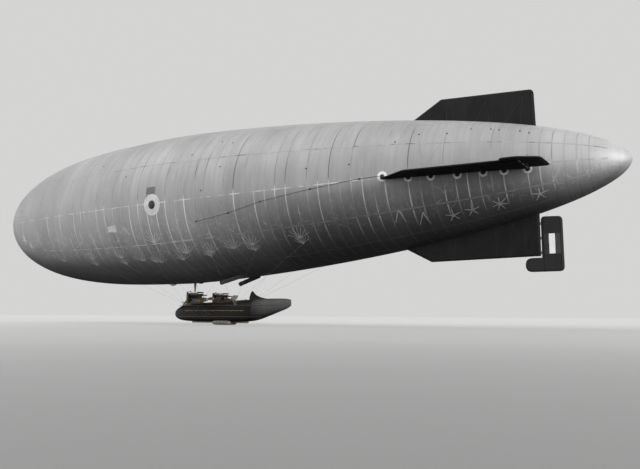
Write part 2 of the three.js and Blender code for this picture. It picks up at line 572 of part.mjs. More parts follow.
SIDES.forEach(([name, side]) => {
  const there = (station, across, height) =>
    at(station, side * (ENGINE_OFFSET + across), SHAFT_LEVEL + height);
  const onCar = (station, across, height) => at(station, side * across, height);
  const tube = (from, to, radius = STRUT_RADIUS) => rod(from, to, radius * metre, 8);
  const railRise = RAIL_LEVEL - SHAFT_LEVEL;

  // Outrigger of steel tube: two bearer rails, with struts to the gunwale and to the chine.
  const rails = [-RAIL_OFFSET, RAIL_OFFSET].map((across) =>
    tube(...RAIL_ENDS.map((station) => there(station, across, railRise)), RAIL_RADIUS));
  const struts = [];
  STRUT_STATIONS.forEach((station, i) => {
    struts.push(tube(onCar(station, ...GUNWALE_FOOT), there(station, RAIL_OFFSET, railRise)));
    struts.push(tube(onCar(station, ...CHINE_FOOT), there(station, RAIL_OFFSET, railRise)));
    if (i === 0) return;
    struts.push(tube(onCar(STRUT_STATIONS[i - 1], ...GUNWALE_FOOT),
      there(station, -RAIL_OFFSET, railRise)));
  });
  const hoopTop = (sign) => there(HOOP.top, sign * (RAIL_OFFSET + HOOP.spread), HOOP.rise);
  [-1, 1].forEach((sign) => {
    struts.push(tube(there(HOOP.foot, sign * RAIL_OFFSET, railRise), hoopTop(sign), HOOP.radius));
  });
  struts.push(tube(hoopTop(-1), hoopTop(1), HOOP.radius));
  add(`outrigger_${name}`, cut(union([...rails, ...struts]), carSeat), 'steel');

  // Engine: crankcase on the rails, two banks of cylinders, cam covers and exhaust pipes.
  const low = railRise + RAIL_RADIUS + gap;
  const { fore, aft, flangeHalf, flangeDepth, caseHalf, caseTop } = CRANKCASE;
  const crank = box(there(fore, -flangeHalf, low), there(aft, flangeHalf, low + flangeDepth))
    .add(box(there(fore, -caseHalf, low), there(aft, caseHalf, caseTop)))
    .add(rod(there(aft - 0.02, 0, 0), there(aft + 0.33, 0, 0), 0.1 * metre, 12, 0.06 * metre))
    .add(rod(there(aft + 0.28, 0, 0), there(PROPELLER_STATION - 0.08 - gap, 0, 0),
      SHAFT_RADIUS * metre, 12))
    .add(rod(there(fore - 0.15, 0, 0.02), there(fore + 0.05, 0, 0.02), 0.12 * metre, 12));
  const banks = [];
  [-1, 1].forEach((bank) => {
    const lean = (along, up) => there(along, bank * up * BANK.spread, up * BANK.rise + BANK.foot);
    const outward = new THREE.Vector3(0, side * bank * EXHAUST.reach * metre, 0.01 * metre);
    for (let i = 0; i < CYLINDERS.count; i += 1) {
      const station = CYLINDERS.first + i * CYLINDERS.pitch;
      banks.push(rod(lean(station, CYLINDERS.foot), lean(station, CYLINDERS.head),
        CYLINDERS.radius * metre, 10));
      const port = lean(station, EXHAUST.port);
      banks.push(rod(port, port.clone().add(outward), EXHAUST.elbow * metre, 8));
    }
    banks.push(rod(lean(CAM_COVER.fore, CAM_COVER.up), lean(CAM_COVER.aft, CAM_COVER.up),
      CAM_COVER.radius * metre, 10));
    const pipe = (station) => lean(station, EXHAUST.port).add(outward);
    banks.push(rod(pipe(EXHAUST.fore), pipe(EXHAUST.aft), EXHAUST.radius * metre, 10));
    const magneto = (station) => there(station, bank * MAGNETO.offset, MAGNETO.height);
    banks.push(rod(magneto(MAGNETO.fore), magneto(MAGNETO.aft), MAGNETO.radius * metre, 10));
  });
  add(`engine_${name}`, union([crank, ...banks]), 'cast');

  // Radiator ahead of the engine, with a rounded header tank, standing on the rails.
  const { half: coreHalf, top, tankHeight } = RADIATOR;
  const middle = (RADIATOR.fore + RADIATOR.aft) / 2;
  add(`radiator_${name}`, union([
    box(there(RADIATOR.fore, -coreHalf, low), there(RADIATOR.aft, coreHalf, top)),
    rod(there(middle, -coreHalf, tankHeight), there(middle, coreHalf, tankHeight),
      RADIATOR.tankRadius * metre, 12),
    rod(there(middle, 0, tankHeight + 0.02), there(middle, 0, RADIATOR.fillerTop),
      RADIATOR.fillerRadius * metre, 10),
  ]), 'brass');

  // Cowl: a light roof sheet from the radiator to the rear hoop, with lips turned down.
  const roofLow = HOOP.rise + HOOP.radius + gap;
  const roofTop = roofLow + COWL.sheet;
  const sheet = (start, end, from, to, down) =>
    box(there(start, from, roofLow - down), there(end, to, roofTop));
  add(`cowl_${name}`, union([
    sheet(COWL.fore, COWL.aft, -COWL.half, COWL.half, 0),
    sheet(COWL.fore, COWL.aft, -COWL.half, COWL.sheet - COWL.half, COWL.lip),
    sheet(COWL.fore, COWL.aft, COWL.half - COWL.sheet, COWL.half, COWL.lip),
    sheet(RADIATOR.aft + gap, COWL.fore + COWL.sheet, -COWL.lapHalf, COWL.lapHalf,
      roofLow - COWL.lapLow),
  ]), 'light');

  add(`propeller_${name}`, propeller(there(PROPELLER_STATION, 0, 0), side), 'wood');
});

// Suspension: bridles of three stays, each fan gathered in an eye on the gunwale.
// Rows: [name, station of the eye, stations of the pads on the envelope].
const BRIDLES = [
  ['fore', 24.3, [16.8, 20.6, 24.2]],
  ['aft', 29.7, [29.9, 34.0, 38.0]],
];
const PAD_ANGLE = -50;
const STAY_RADIUS = 3;
BRIDLES.forEach(([where, eyeStation, pads]) => {
  SIDES.forEach(([name, side]) => {
    const eye = at(eyeStation, side * 0.86, GUNWALE_LEVEL + 0.12);
    const inboard = at(eyeStation, side * 0.5, GUNWALE_LEVEL + 0.02);
    const parts = [rod(inboard, eye, 0.03 * metre, 8), ball(eye, 0.06 * metre, 8)];
    pads.forEach((station) => {
      const turn = THREE.MathUtils.degToRad(PAD_ANGLE);
      const skin = hullRadius(station);
      const out = new THREE.Vector3(0, side * Math.cos(turn), Math.sin(turn));
      const pad = at(station, 0, 0).addScaledVector(out, skin * metre);
      parts.push(rod(eye, pad, STAY_RADIUS, 6));
      const under = pad.clone().addScaledVector(out, -0.1 * metre);
      const top = pad.clone().addScaledVector(out, 0.05 * metre);
      parts.push(rod(under, top, 0.22 * metre, 12, 0.14 * metre));
    });
    add(`bridle_${where}_${name}`, cut(seated(union(parts)), carSeat), 'steel');
  });
});

export default ship;
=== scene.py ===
from contextlib import contextmanager
from functools import partial
from math import acos, atan, atan2, copysign, cos, degrees, exp, hypot, pi, radians, sin, sqrt

import bpy
from mathutils import Matrix, Vector


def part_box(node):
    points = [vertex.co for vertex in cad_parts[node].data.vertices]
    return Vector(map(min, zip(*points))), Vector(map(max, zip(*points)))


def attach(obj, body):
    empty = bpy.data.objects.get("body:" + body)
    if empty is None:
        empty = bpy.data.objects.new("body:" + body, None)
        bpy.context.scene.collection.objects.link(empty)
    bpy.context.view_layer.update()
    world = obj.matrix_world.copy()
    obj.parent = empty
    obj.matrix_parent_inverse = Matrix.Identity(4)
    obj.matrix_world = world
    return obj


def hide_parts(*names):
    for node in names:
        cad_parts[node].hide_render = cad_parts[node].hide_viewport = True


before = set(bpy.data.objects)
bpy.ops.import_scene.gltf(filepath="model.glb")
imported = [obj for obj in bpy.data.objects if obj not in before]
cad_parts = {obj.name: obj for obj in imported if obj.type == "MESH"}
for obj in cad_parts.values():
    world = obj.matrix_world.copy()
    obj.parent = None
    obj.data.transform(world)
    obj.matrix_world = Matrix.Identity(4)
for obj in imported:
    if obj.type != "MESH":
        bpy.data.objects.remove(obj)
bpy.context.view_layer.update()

# Place and light
# The ship floats level, low over a pale floor, and is seen from abaft the port beam by an eye
# close to the floor. Three broad lamps light its back, its bow and its tail and leave the belly dark.
EYE = Vector((-18.35, 19.50, -4.56))
HEADING = radians(32.64)
PITCH = radians(7.51)
ROLL = radians(0.34)
FOCAL_PIXELS = 620
PHOTO_WIDTH = 640
SENSOR_MM = 36
CLIP_END = 2000
GROUND_LEVEL = -4.94
FLOOR_REACH = 900
FLOOR_FADE = 40
FLOOR_GLOW_TONES = [(0, (0.11, 0.11, 0.109)), (0.25, (0.31, 0.31, 0.308)), (1, (0.47, 0.47, 0.467))]
DOME_REACH = 850
DOME_TONE = (0.66, 0.66, 0.655, 1)
SKY_TONES = [(0.45, 0.05), (0.56, 0.72), (1, 0.69)]
SKY_STRENGTH = 1.1
LAMPS = [
    # name, where it shines from, strength, spread in degrees
    ("high_lamp", (0.45, 0.35, 0.8), 1.0, 45),
    ("bow_lamp", (0.9, 0.42, -0.05), 1.1, 60),
    ("stern_lamp", (-0.88, 0.38, 0.15), 4.1, 40),
]

bpy.ops.object.camera_add(location=EYE)
camera = bpy.context.object
camera.matrix_world = (
    Matrix.Translation(EYE)
    @ Matrix.Rotation(HEADING + pi, 4, "Z")
    @ Matrix.Rotation(pi / 2 + PITCH, 4, "X")
    @ Matrix.Rotation(ROLL, 4, "Z")
)
camera.data.sensor_width = SENSOR_MM
camera.data.lens = FOCAL_PIXELS / PHOTO_WIDTH * SENSOR_MM
camera.data.clip_end = CLIP_END
bpy.context.scene.camera = camera
bpy.context.scene.view_settings.view_transform = "Standard"


def deselect():
    bpy.ops.object.select_all(action="DESELECT")


def made(operator, **settings):
    """The object that an operator adds."""
    deselect()
    operator(**settings)
    return bpy.context.object


def put(tree, made_node, **settings):
    """Sets or links inputs, by their names with underscores for spaces, or else sets properties."""
    for name, value in settings.items():
        socket = made_node.inputs.get(name.replace("_", " "))
        if socket is None:
            setattr(made_node, name, value)
        elif isinstance(value, bpy.types.NodeSocket):
            tree.links.new(value, socket)
        else:
            socket.default_value = value
    return made_node


def node(tree, kind, source=None, **settings):
    """A shader node, its first input fed from a source."""
    made_node = tree.nodes.new("ShaderNode" + kind)
    if source is not None:
        tree.links.new(source, made_node.inputs[0])
    return put(tree, made_node, **settings)


def shaded(tree, **settings):
    """Sets or links inputs of the tree's shader."""
    put(tree, tree.nodes["Principled BSDF"], **settings)


def finish(name, roughness=0.5, metallic=0.0, **settings):
    """A new material and its node tree."""
    material = bpy.data.materials.new(name)
    material.use_nodes = True
    shaded(material.node_tree, Roughness=roughness, Metallic=metallic, **settings)
    return material, material.node_tree


def ramp(tree, value, *stops):
    """Turns a value into greys or colours: stops are (position, grey or colour)."""
    shades = node(tree, "ValToRGB", value)
    elements = shades.color_ramp.elements
    while len(elements) < len(stops):
        elements.new(0.5)
    for element, (position, tone) in zip(elements, stops):
        element.position = position
        element.color = (*(tone if isinstance(tone, tuple) else (tone,) * 3), 1)
    return shades.outputs["Color"]


def on_object(tree, stretch=None):
    """Object coordinates, stretched where asked."""
    where = node(tree, "TexCoord").outputs["Object"]
    return node(tree, "Mapping", where, Scale=stretch).outputs[0] if stretch else where


def rise(tree, where, axis, low, high):
    """A share that goes from 0 to 1 while the coordinate goes from low to high."""
    split = node(tree, "SeparateXYZ", where)
    return node(tree, "MapRange", split.outputs[axis], From_Min=low, From_Max=high).outputs[0]


def staged(piece, name, material, unseen_by):
    """Names a piece, gives it its material, and hides it from some rays."""
    piece.name = name
    piece.data.materials.append(material)
    for rays in unseen_by:
        setattr(piece, f"visible_{rays}", False)


# The floor glows by its emission, a painted light that fills the ship's shadow on it, darker near the eye
# and paler far off.
near_tone = (*FLOOR_GLOW_TONES[0][1], 1)
glowing_floor, tree = finish("pale_floor", 0.95, Base_Color=near_tone, Emission_Strength=1.0)
away = node(tree, "VectorMath", on_object(tree), operation="DISTANCE")
away.inputs[1].default_value = (EYE.x, EYE.y, 0)
reach = node(tree, "MapRange", away.outputs["Value"], From_Max=FLOOR_FADE)
shaded(tree, Emission_Color=ramp(tree, reach.outputs[0], *FLOOR_GLOW_TONES))
floor = made(bpy.ops.mesh.primitive_plane_add, size=2 * FLOOR_REACH, location=(0, 0, GROUND_LEVEL))
staged(floor, "floor", glowing_floor, ("diffuse", "glossy"))

dome_light, tree = finish("pale_backdrop")
tree.nodes.remove(tree.nodes["Principled BSDF"])
glow = node(tree, "Emission", Color=DOME_TONE)
put(tree, tree.nodes["Material Output"], Surface=glow.outputs[0])
dome = made(bpy.ops.mesh.primitive_uv_sphere_add, segments=48, ring_count=24, radius=DOME_REACH)
staged(dome, "backdrop", dome_light, ("diffuse", "glossy", "volume_scatter", "shadow"))

world = bpy.data.worlds.new("studio")
world.use_nodes = True
bpy.context.scene.world = world
tree = world.node_tree
height = rise(tree, node(tree, "TexCoord").outputs["Generated"], "Z", -1, 1)
put(tree, tree.nodes["Background"], Color=ramp(tree, height, *SKY_TONES), Strength=SKY_STRENGTH)

for name, source, strength, spread in LAMPS:
    aim = Vector(source).to_track_quat("Z", "Y").to_euler()
    lamp = made(bpy.ops.object.light_add, type="SUN", rotation=aim)
    lamp.name = name
    lamp.data.energy = strength
    lamp.data.angle = radians(spread)

# Envelope
# A slender gas bag of rubbered cotton cloth, cut in strips that run round it and gored in twelve,
# and doped with aluminium. Gas pressure holds its shape, and the cloth stands out between seams.
SCALE = 0.5
LENGTH = 58.52
RADIUS = 6.4
BUOYANCY_STATION = 25.46
BOW_SHARE = 0.397
BOW_POWER = 3.0
TAIL_POWER = 1.42
TAIL_BLUNTNESS = 0.54
CLOTH_WALL = 0.010
CLOTH_SWELL = 0.0022
GORE_ANGLES = [90, 56.5, 24.8, -5, -34.3, -62.5, -90]
GORE_FACES = 12
FIRST_SEAM = 1.68
LAST_SEAM = 57.3
FORE_STRIP = 1.03
STRIP_EASE = 0.011
EVEN_STRIPS_END = 19
STRIP_ROWS = 4
CAP_ROWS = 8
DOUBLES = 0.00001
X_AXIS, Y_AXIS, Z_AXIS = (Vector(row) for row in Matrix.Identity(3))


def place(station, across, level):
    """A point given in metres of the full-size ship: aft of the bow, to port and above the axis."""
    return Vector(((BUOYANCY_STATION - station) * SCALE, across * SCALE, level * SCALE))


def hull_radius(station):
    share = min(max(station / LENGTH, 0), 1)
    if share < BOW_SHARE:
        return RADIUS * sqrt(max(0, 1 - (1 - share / BOW_SHARE) ** BOW_POWER))
    aft = (share - BOW_SHARE) / (1 - BOW_SHARE)
    return RADIUS * max(0, 1 - aft**TAIL_POWER) ** TAIL_BLUNTNESS


def on_hull(station, angle, proud=0.0):
    """A point of the skin, the angle in degrees up from the port side, lifted off it by proud."""
    step = 0.05
    slope = (hull_radius(station + step) - hull_radius(station - step)) / (2 * step)
    lean = atan(slope)
    reach = hull_radius(station) * SCALE + proud * cos(lean)
    turn = radians(angle)
    along = (BUOYANCY_STATION - station) * SCALE + proud * sin(lean)
    return Vector((along, reach * cos(turn), reach * sin(turn)))


def only(piece):
    """Selects this piece alone."""
    deselect()
    piece.select_set(True)
    bpy.context.view_layer.objects.active = piece


@contextmanager
def editing(piece):
    """Edits one piece with all of it selected."""
    only(piece)
    bpy.ops.object.mode_set(mode="EDIT")
    bpy.ops.mesh.select_all(action="SELECT")
    yield
    bpy.ops.object.mode_set(mode="OBJECT")


def faces_out(piece):
    """Merges doubles and turns every face outwards."""
    with editing(piece):
        bpy.ops.mesh.remove_doubles(threshold=DOUBLES)
        bpy.ops.mesh.normals_make_consistent(inside=False)
    return piece


def reshaped(piece, shape):
    """Moves every vertex to shape(x, y, z)."""
    for vertex in piece.data.vertices:
        vertex.co = shape(*vertex.co)
    return piece


def drawn_form(sides, rings, shape):
    """A sphere with its rings drawn out: shape(ring, share of a turn) gives each point, and the
    first and last ring are the poles."""

    def drawn(x, y, z):
        ring = round(acos(max(-1, min(1, z))) / pi * rings)
        side = atan2(y, x) / (2 * pi) * sides
        return shape(ring, round(side) % sides / sides)

    sphere = made(bpy.ops.mesh.primitive_uv_sphere_add, segments=sides, ring_count=rings, radius=1)
    return faces_out(reshaped(sphere, drawn))


def modified(piece, kind, **settings):
    """Adds a modifier with these settings and applies it."""
    bpy.context.view_layer.objects.active = piece
    modifier = piece.modifiers.new(kind.lower(), kind)
    for setting, value in settings.items():
        setattr(modifier, setting, value)
    bpy.ops.object.modifier_apply(modifier=modifier.name)
    return piece


def joined(pieces):
    """Joins meshes into one piece."""
    deselect()
    for piece in pieces:
        piece.select_set(True)
    bpy.context.view_layer.objects.active = pieces[0]
    bpy.ops.object.join()
    piece = bpy.context.object
    piece.select_set(False)
    return piece


def smooth(piece, crease):
    """Shades a piece smooth, but for edges bent more than the crease, in degrees."""
    only(piece)
    bpy.ops.object.shade_smooth_by_angle(angle=radians(crease))
    return piece


def settled(piece, name, slot_name, material, *nodes_replaced, body="ship", crease=35):
    """Joins a piece's parts if it is a list, smooths it, and ties it to its body and nodes."""
    if isinstance(piece, list):
        piece = joined(piece)
    if crease:
        smooth(piece, crease)
    piece.name = name
    piece.data.materials.clear()
    piece.data.materials.append(material)
    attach(piece, body)
    if nodes_replaced:
        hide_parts(*nodes_replaced)
    return piece


def blotches(tree, size, detail=5, stretch=(1, 1, 1), rough=0.55):
    """Noise on Object coordinates, with blotches of about that many metres."""
    where = on_object(tree, stretch)
    return node(tree, "TexNoise", where, Scale=1 / size, Detail=detail, Roughness=rough).outputs["Fac"]


def relief(tree, value, depth, strength):
    """Bump that deep, in metres."""
    shaded(tree, Normal=node(tree, "Bump", Height=value, Distance=depth, Strength=strength).outputs[0])


def mixed(tree, first, second, share=1.0, blend="MIX"):
    """Two colours mixed, share of them the second."""
    mix = node(tree, "Mix", data_type="RGBA", blend_type=blend, Factor=share)
    tree.links.new(first, mix.inputs[6])
    tree.links.new(second, mix.inputs[7])
    return mix.outputs[2]


def times(tree, colour, *others):
    """Colours multiplied."""
    for other in others:
        colour = mixed(tree, colour, other, blend="MULTIPLY")
    return colour


def lightest(tree, colour, *others):
    for other in others:
        colour = mixed(tree, colour, other, blend="LIGHTEN")
    return colour


def up_hull(tree, *stops):
    """Greys by how far up its own ring of the hull a spot is, from the keel at 0 to the ridge at 1."""
    across = node(tree, "VectorMath", on_object(tree), operation="MULTIPLY")
    across.inputs[1].default_value = (0, 1, 1)
    out = node(tree, "VectorMath", across.outputs[0], operation="NORMALIZE")
    return ramp(tree, rise(tree, out.outputs[0], "Z", -1, 1), *stops)


def along_ship(tree, fore, aft):
    """A share that rises from 0 at one station to 1 at the other."""
    return rise(tree, on_object(tree), "X", place(fore, 0, 0).x, place(aft, 0, 0).x)


def crazed(tree, size, width, stretch):
    """Fine broken lines, white on black, as where dope has cracked or been brushed over."""
    where = on_object(tree, stretch)
    cells = node(tree, "TexVoronoi", where, Scale=1 / size, feature="DISTANCE_TO_EDGE")
    line = ramp(tree, cells.outputs["Distance"], (width / 2, 1.0), (width, 0.0))
    return times(tree, line, ramp(tree, blotches(tree, size * 0.8, 4), (0.5, 0.0), (0.6, 1.0)))


def hull_dirt_and_shade(tree):
    """Darker towards the keel, as grime and painted shade: under the bow, with soot and the painted shadow
    of the fins deeper and higher up behind the engines, and less near the tail.
    """
    bow_grime_and_shade = up_hull(tree, (0.02, 0.4), (0.1, 0.52), (0.18, 0.86), (0.27, 1.0))
    aft_soot_and_fin_shade = up_hull(tree, (0.05, 0.18), (0.14, 0.25), (0.25, 0.4), (0.38, 0.6), (0.47, 1.0))
    tail_grime_and_shade = up_hull(tree, (0.02, 0.45), (0.15, 0.7), (0.28, 1.0))
    abaft = mixed(tree, bow_grime_and_shade, aft_soot_and_fin_shade, along_ship(tree, 28, 38))
    dirt_and_shade = mixed(tree, abaft, tail_grime_and_shade, along_ship(tree, 52, 56.5))
    clean_ends = lightest(tree, along_ship(tree, 3.2, 0.3), along_ship(tree, 56.8, 58.4))
    return lightest(tree, dirt_and_shade, clean_ends)


seams = [FIRST_SEAM]
while seams[-1] < LAST_SEAM - FORE_STRIP:
    seams.append(seams[-1] + FORE_STRIP - STRIP_EASE * max(0, seams[-1] - EVEN_STRIPS_END))
cloth_rows = [(seams[0] * (row / CAP_ROWS) ** 2, row / CAP_ROWS) for row in range(CAP_ROWS)]
for strip, (fore, aft) in enumerate(zip(seams, seams[1:])):
    for row in range(STRIP_ROWS):
        share = row / STRIP_ROWS
        cloth_rows.append((fore + (aft - fore) * share, strip + 1 + share))
for row in range(CAP_ROWS + 1):
    share = row / CAP_ROWS
    cloth_rows.append((LENGTH - (LENGTH - seams[-1]) * (1 - share) ** 2, len(seams) + share))
gore_edges = GORE_ANGLES[::-1] + [180 - angle for angle in GORE_ANGLES[1:]]
CLOTH_SIDES = GORE_FACES * (len(gore_edges) - 1)


def gore_angle(side):
    """The angle of a meridian of the mesh, counted up from the keel to port and on round."""
    gore, face = divmod(side, GORE_FACES)
    low, high = gore_edges[gore], gore_edges[gore + 1]
    return low + (high - low) * face / GORE_FACES


def cloth_point(ring, share_of_turn):
    station, strip = cloth_rows[ring]
    if ring in (0, len(cloth_rows) - 1):
        return place(station, 0, 0)
    side = round(share_of_turn * CLOTH_SIDES)
    across_strip = strip % 1
    across_gore = side % GORE_FACES / GORE_FACES
    crown = 4 * across_strip * (1 - across_strip) * (0.6 + 1.6 * across_gore * (1 - across_gore))
    return on_hull(station, gore_angle(side), CLOTH_SWELL * (crown - 1))


doped_cloth, tree = finish("aluminium_doped_cloth", 0.56, 0.3)
number = node(tree, "Attribute", attribute_name="panel")
chance = node(tree, "TexWhiteNoise", number.outputs["Vector"])
cut_tone = ramp(tree, chance.outputs["Value"], (0, 0.93), (1, 1.0))
weathered = ramp(tree, blotches(tree, 1.6, stretch=(1, 0.6, 0.6)), (0.3, 0.27), (0.7, 0.37))
rain = ramp(tree, blotches(tree, 0.16, 8, (1, 0.1, 0.1)), (0.3, 0.88), (0.62, 1.0))
tone = times(tree, weathered, cut_tone, rain)
handled = up_hull(tree, (0.08, 0.0), (0.18, 0.7), (0.3, 0.45), (0.42, 0.0))
coarse, fine = crazed(tree, 0.3, 0.05, (1, 1, 0.5)), crazed(tree, 0.16, 0.07, (1, 0.6, 0.6))
lines = mixed(tree, coarse, fine, 0.5, "SCREEN")
chalk = ramp(tree, blotches(tree, 0.01, 3), (0.0, 0.5), (1.0, 0.62))
tone = mixed(tree, tone, chalk, times(tree, lines, handled))
# The tail cone grows lighter towards its tip: a painted highlight of the bright light there.
painted_tail_glare = ramp(tree, along_ship(tree, 53, 58.3), (0.0, 1.0), (1.0, 1.45))
# The skin is darkened towards the keel by grime and by painted shade.
shaded(tree, Base_Color=times(tree, tone, hull_dirt_and_shade(tree), painted_tail_glare))
relief(tree, blotches(tree, 0.05, 6, rough=0.7), 0.004, 0.25)

envelope = drawn_form(CLOTH_SIDES, len(cloth_rows) - 1, cloth_point)
panel = envelope.data.attributes.new("panel", "FLOAT_VECTOR", "CORNER")
for face in envelope.data.polygons:
    up_angle = (degrees(atan2(face.center.z, face.center.y)) + 90) % 360
    station = BUOYANCY_STATION - face.center.x / SCALE
    gore = max(i for i, edge in enumerate(gore_edges) if edge + 90 <= up_angle)
    strip = sum(1 for seam in seams if seam <= station)
    for corner in face.loop_indices:
        panel.data[corner].vector = (gore + 0.5, strip + 0.5, 0)
modified(envelope, "SOLIDIFY", thickness=CLOTH_WALL, offset=-1)
bpy.ops.object.shade_smooth()
settled(envelope, "envelope_cloth", "envelope_cloth", doped_cloth, "envelope", crease=None)

# Seam tapes
# Strips of the same cloth, cemented and doped over every seam of the gas bag. Those that run
# round it are closed rings, and twelve more run along it from the bow cap to the tail.
TAPE_WIDTH = 0.034
TAPE_THICKNESS = 0.0016
LONG_TAPE_ENDS = (1.2, 57.6)
BOW_CAP = [0.07, 0.17, 0.27, 0.37, 0.47]
BOW_TAPE_WIDTH = 0.055


def open_tube(sides):
    """A tube about Z from -1 to 1, without ends."""
    return made(bpy.ops.mesh.primitive_cylinder_add, vertices=sides, depth=2, end_fill_type="NOTHING")


def grid(columns, rows):
    """A flat sheet from -1 to 1 both ways."""
    return made(bpy.ops.mesh.primitive_grid_add, x_subdivisions=columns, y_subdivisions=rows, size=2)


def band(station, width):
    """A ring of tape round the hull."""

    def wrapped(x, y, z):
        side = round(atan2(y, x) / (2 * pi) * CLOTH_SIDES)
        return on_hull(station - z * width / 2 / SCALE, gore_angle(side % CLOTH_SIDES))

    return reshaped(open_tube(CLOTH_SIDES), wrapped)


def ribbon(edge, stations):
    """A strip of tape along one meridian."""

    def wrapped(x, y, z):
        station = stations[round((1 - x) / 2 * (len(stations) - 1))]
        spread = degrees(TAPE_WIDTH / 2 / (hull_radius(station) * SCALE))
        return on_hull(station, edge + y * spread)

    return reshaped(grid(len(stations) - 1, 1), wrapped)


taped_seam, tree = finish("taped_seam", 0.8)
# The tapes share the skin's grime and painted shade.
dirt_and_shade = hull_dirt_and_shade(tree)
# Tape tone by height: dark above the middle of the hull and pale below it, a painted highlight as if the
# lower tapes caught the light.
tape_tone_and_glint = up_hull(tree, (0.1, 0.12), (0.19, 0.5), (0.45, 0.66), (0.5, 0.11), (1.0, 0.16))
tape_tone_and_glint = times(tree, tape_tone_and_glint, ramp(tree, dirt_and_shade, (0.0, 0.45), (1.0, 1.0)))
hull_tone = ramp(tree, dirt_and_shade, (0.0, 0.0), (1.0, 0.31))
patchy = ramp(tree, blotches(tree, 0.75, 4, (1.7, 0.45, 0.45)), (0.4, 0.0), (0.56, 1.0))
# Near the ridge the tapes take the skin's tone, a painted highlight that washes the lines out.
ridge = up_hull(tree, (0.82, 0.0), (0.92, 1.0))
gore_line = up_hull(tree, (0.2, 0.0), (0.21, 0.8), (0.226, 0.8), (0.236, 0.0))
tail_gore = times(tree, gore_line, along_ship(tree, 29, 35))
forward = ramp(tree, along_ship(tree, 27, 16), (0.0, 0.0), (1.0, 0.9))
upper = up_hull(tree, (0.44, 0.0), (0.52, 1.0))
faint_rings = ramp(tree, blotches(tree, 0.33, 1, (1, 0.06, 0.06)), (0.46, 0.0), (0.54, 0.8))
faded = times(tree, upper, lightest(tree, forward, faint_rings))
worn_and_washed_out = lightest(tree, patchy, faded, ridge, tail_gore, along_ship(tree, 1.4, 0.8))
shaded(tree, Base_Color=mixed(tree, tape_tone_and_glint, hull_tone, worn_and_washed_out))
relief(tree, blotches(tree, 0.01, 4), 0.001, 0.4)

long_rows = [station for station, strip in cloth_rows if LONG_TAPE_ENDS[0] < station < LONG_TAPE_ENDS[1]]
tapes = [band(station, TAPE_WIDTH) for station in seams]
tapes += [band(station, BOW_TAPE_WIDTH) for station in BOW_CAP]
tapes += [ribbon(edge, long_rows) for edge in gore_edges[:-1]]
tapes = modified(faces_out(joined(tapes)), "SOLIDIFY", thickness=2 * TAPE_THICKNESS, offset=0)
settled(tapes, "seam_tapes", "envelope_cloth", taped_seam, crease=None)

# Patches, eyes and lines on the skin
# Finger patches spread a pull over the skin: tapered tongues of cloth, cemented on in a fan. Ring
# patches are reinforced eyes, and the control lines run aft through small fairleads.
PATCH_THICKNESS = 0.0016
TONGUE_ROOT = 0.028
TONGUE_TIP = 0.012
BOW_FANS = [
    # station, angle, reach, fingers, spread, heading, width against a common one
    (6.6, -23.8, 0.32, 7, 360, 90, 2.6),
    (7.7, -30.1, 0.3, 7, 360, 90, 1.6),
]
TAIL_FANS = [
    # station, angle, fingers, spread, heading
    (45.41, -33.2, 2, 40, -97),
    (46.87, -39.8, 2, 40, -97),
    (48.61, -49.3, 5, 360, 90),
    (49.8, -47.6, 5, 360, 90),
    (51.43, -47.4, 7, 360, 90),
    (53.7, -47, 5, 360, 90),
]
# Fans, eyes and the stops of lines by station and angle
BELLY_FANS = [(25.2, -33.5), (24.7, -51), (27.1, -50.4), (27.8, -45), (16.8, -44), (20.6, -44),
              (34, -45), (38, -45), (12.4, -46), (22.9, -48), (30.2, -47), (32.3, -46)]
FIN_ROOT_EYES = [(44.67, -3.8), (46.33, -6.8), (47.73, -7.7), (49.32, -8.6), (50.81, -9.2),
                 (51.98, -9.9), (53.26, -10.7)]
BACK_EYES = [(46.75, 36), (48.51, 37), (49.88, 45), (51.06, 46), (51.54, 45), (52.74, 45), (53.27, 42),
             (45.32, 27.5), (31.19, 41.6), (32.33, 39), (39.3, 8.4), (42.41, 8.6), (30.61, 0),
             (32.08, 16.7), (22.4, 18), (18.6, 33), (28.9, 30)]
CONTROL_LINE = [(29.86, -21.3), (32.87, -18), (35.67, -12.6), (39.62, -7.7), (43.12, -4), (44.6, -3.3)]
PATCH_LINE = [(20.86, -23.6), (21.05, -33), (21.35, -42), (22.05, -49)]
# Flat patches by station, angle, length, fore width and aft width
SIDE_PATCH = (20.9, -20, 0.5, 0.22, 0.3)
RIP_PANEL = (16.5, 80, 4.2, 0.3, 0.3)
LINE_STEPS = 8


def laid_on_hull(piece, station, angle):
    """Wraps a flat piece on the skin: its x runs aft, its y up round the hull and its z outwards."""
    reach = hull_radius(station) * SCALE
    ahead, behind = on_hull(station - 0.1, angle), on_hull(station + 0.1, angle)
    ease = 0.2 * SCALE / (ahead - behind).length

    def wrapped(aft, up, proud):
        return on_hull(station + aft * ease / SCALE, angle + degrees(up / reach), proud)

    return reshaped(piece, wrapped)


def strip_grid(length, fore_width, aft_width, steps, rows=1, start=0.0):
    """A flat strip along x, with its own width at each end, that begins this share of it before x = 0."""

    def tapered(x, y, z):
        share = (x + 1) / 2
        return (share - start) * length, y * (fore_width + (aft_width - fore_width) * share) / 2, 0

    return reshaped(grid(steps, rows), tapered)


def tongue(length, root, tip, heading):
    piece = strip_grid(length, root, tip, 6)
    piece.data.transform(Matrix.Rotation(heading, 4, "Z"))
    return piece


def finger_patch(station, angle, reach, fingers, spread, heading=90, wide=1):
    """A fan of tongues, spread evenly about its heading, in degrees up from aft."""
    step = spread / (fingers if spread == 360 else fingers - 1)
    turns = [heading + step * (i - (fingers - 1) / 2) for i in range(fingers)]
    fan = [tongue(reach, wide * TONGUE_ROOT, wide * TONGUE_TIP, radians(turn)) for turn in turns]
    return laid_on_hull(joined(fan), station, angle)


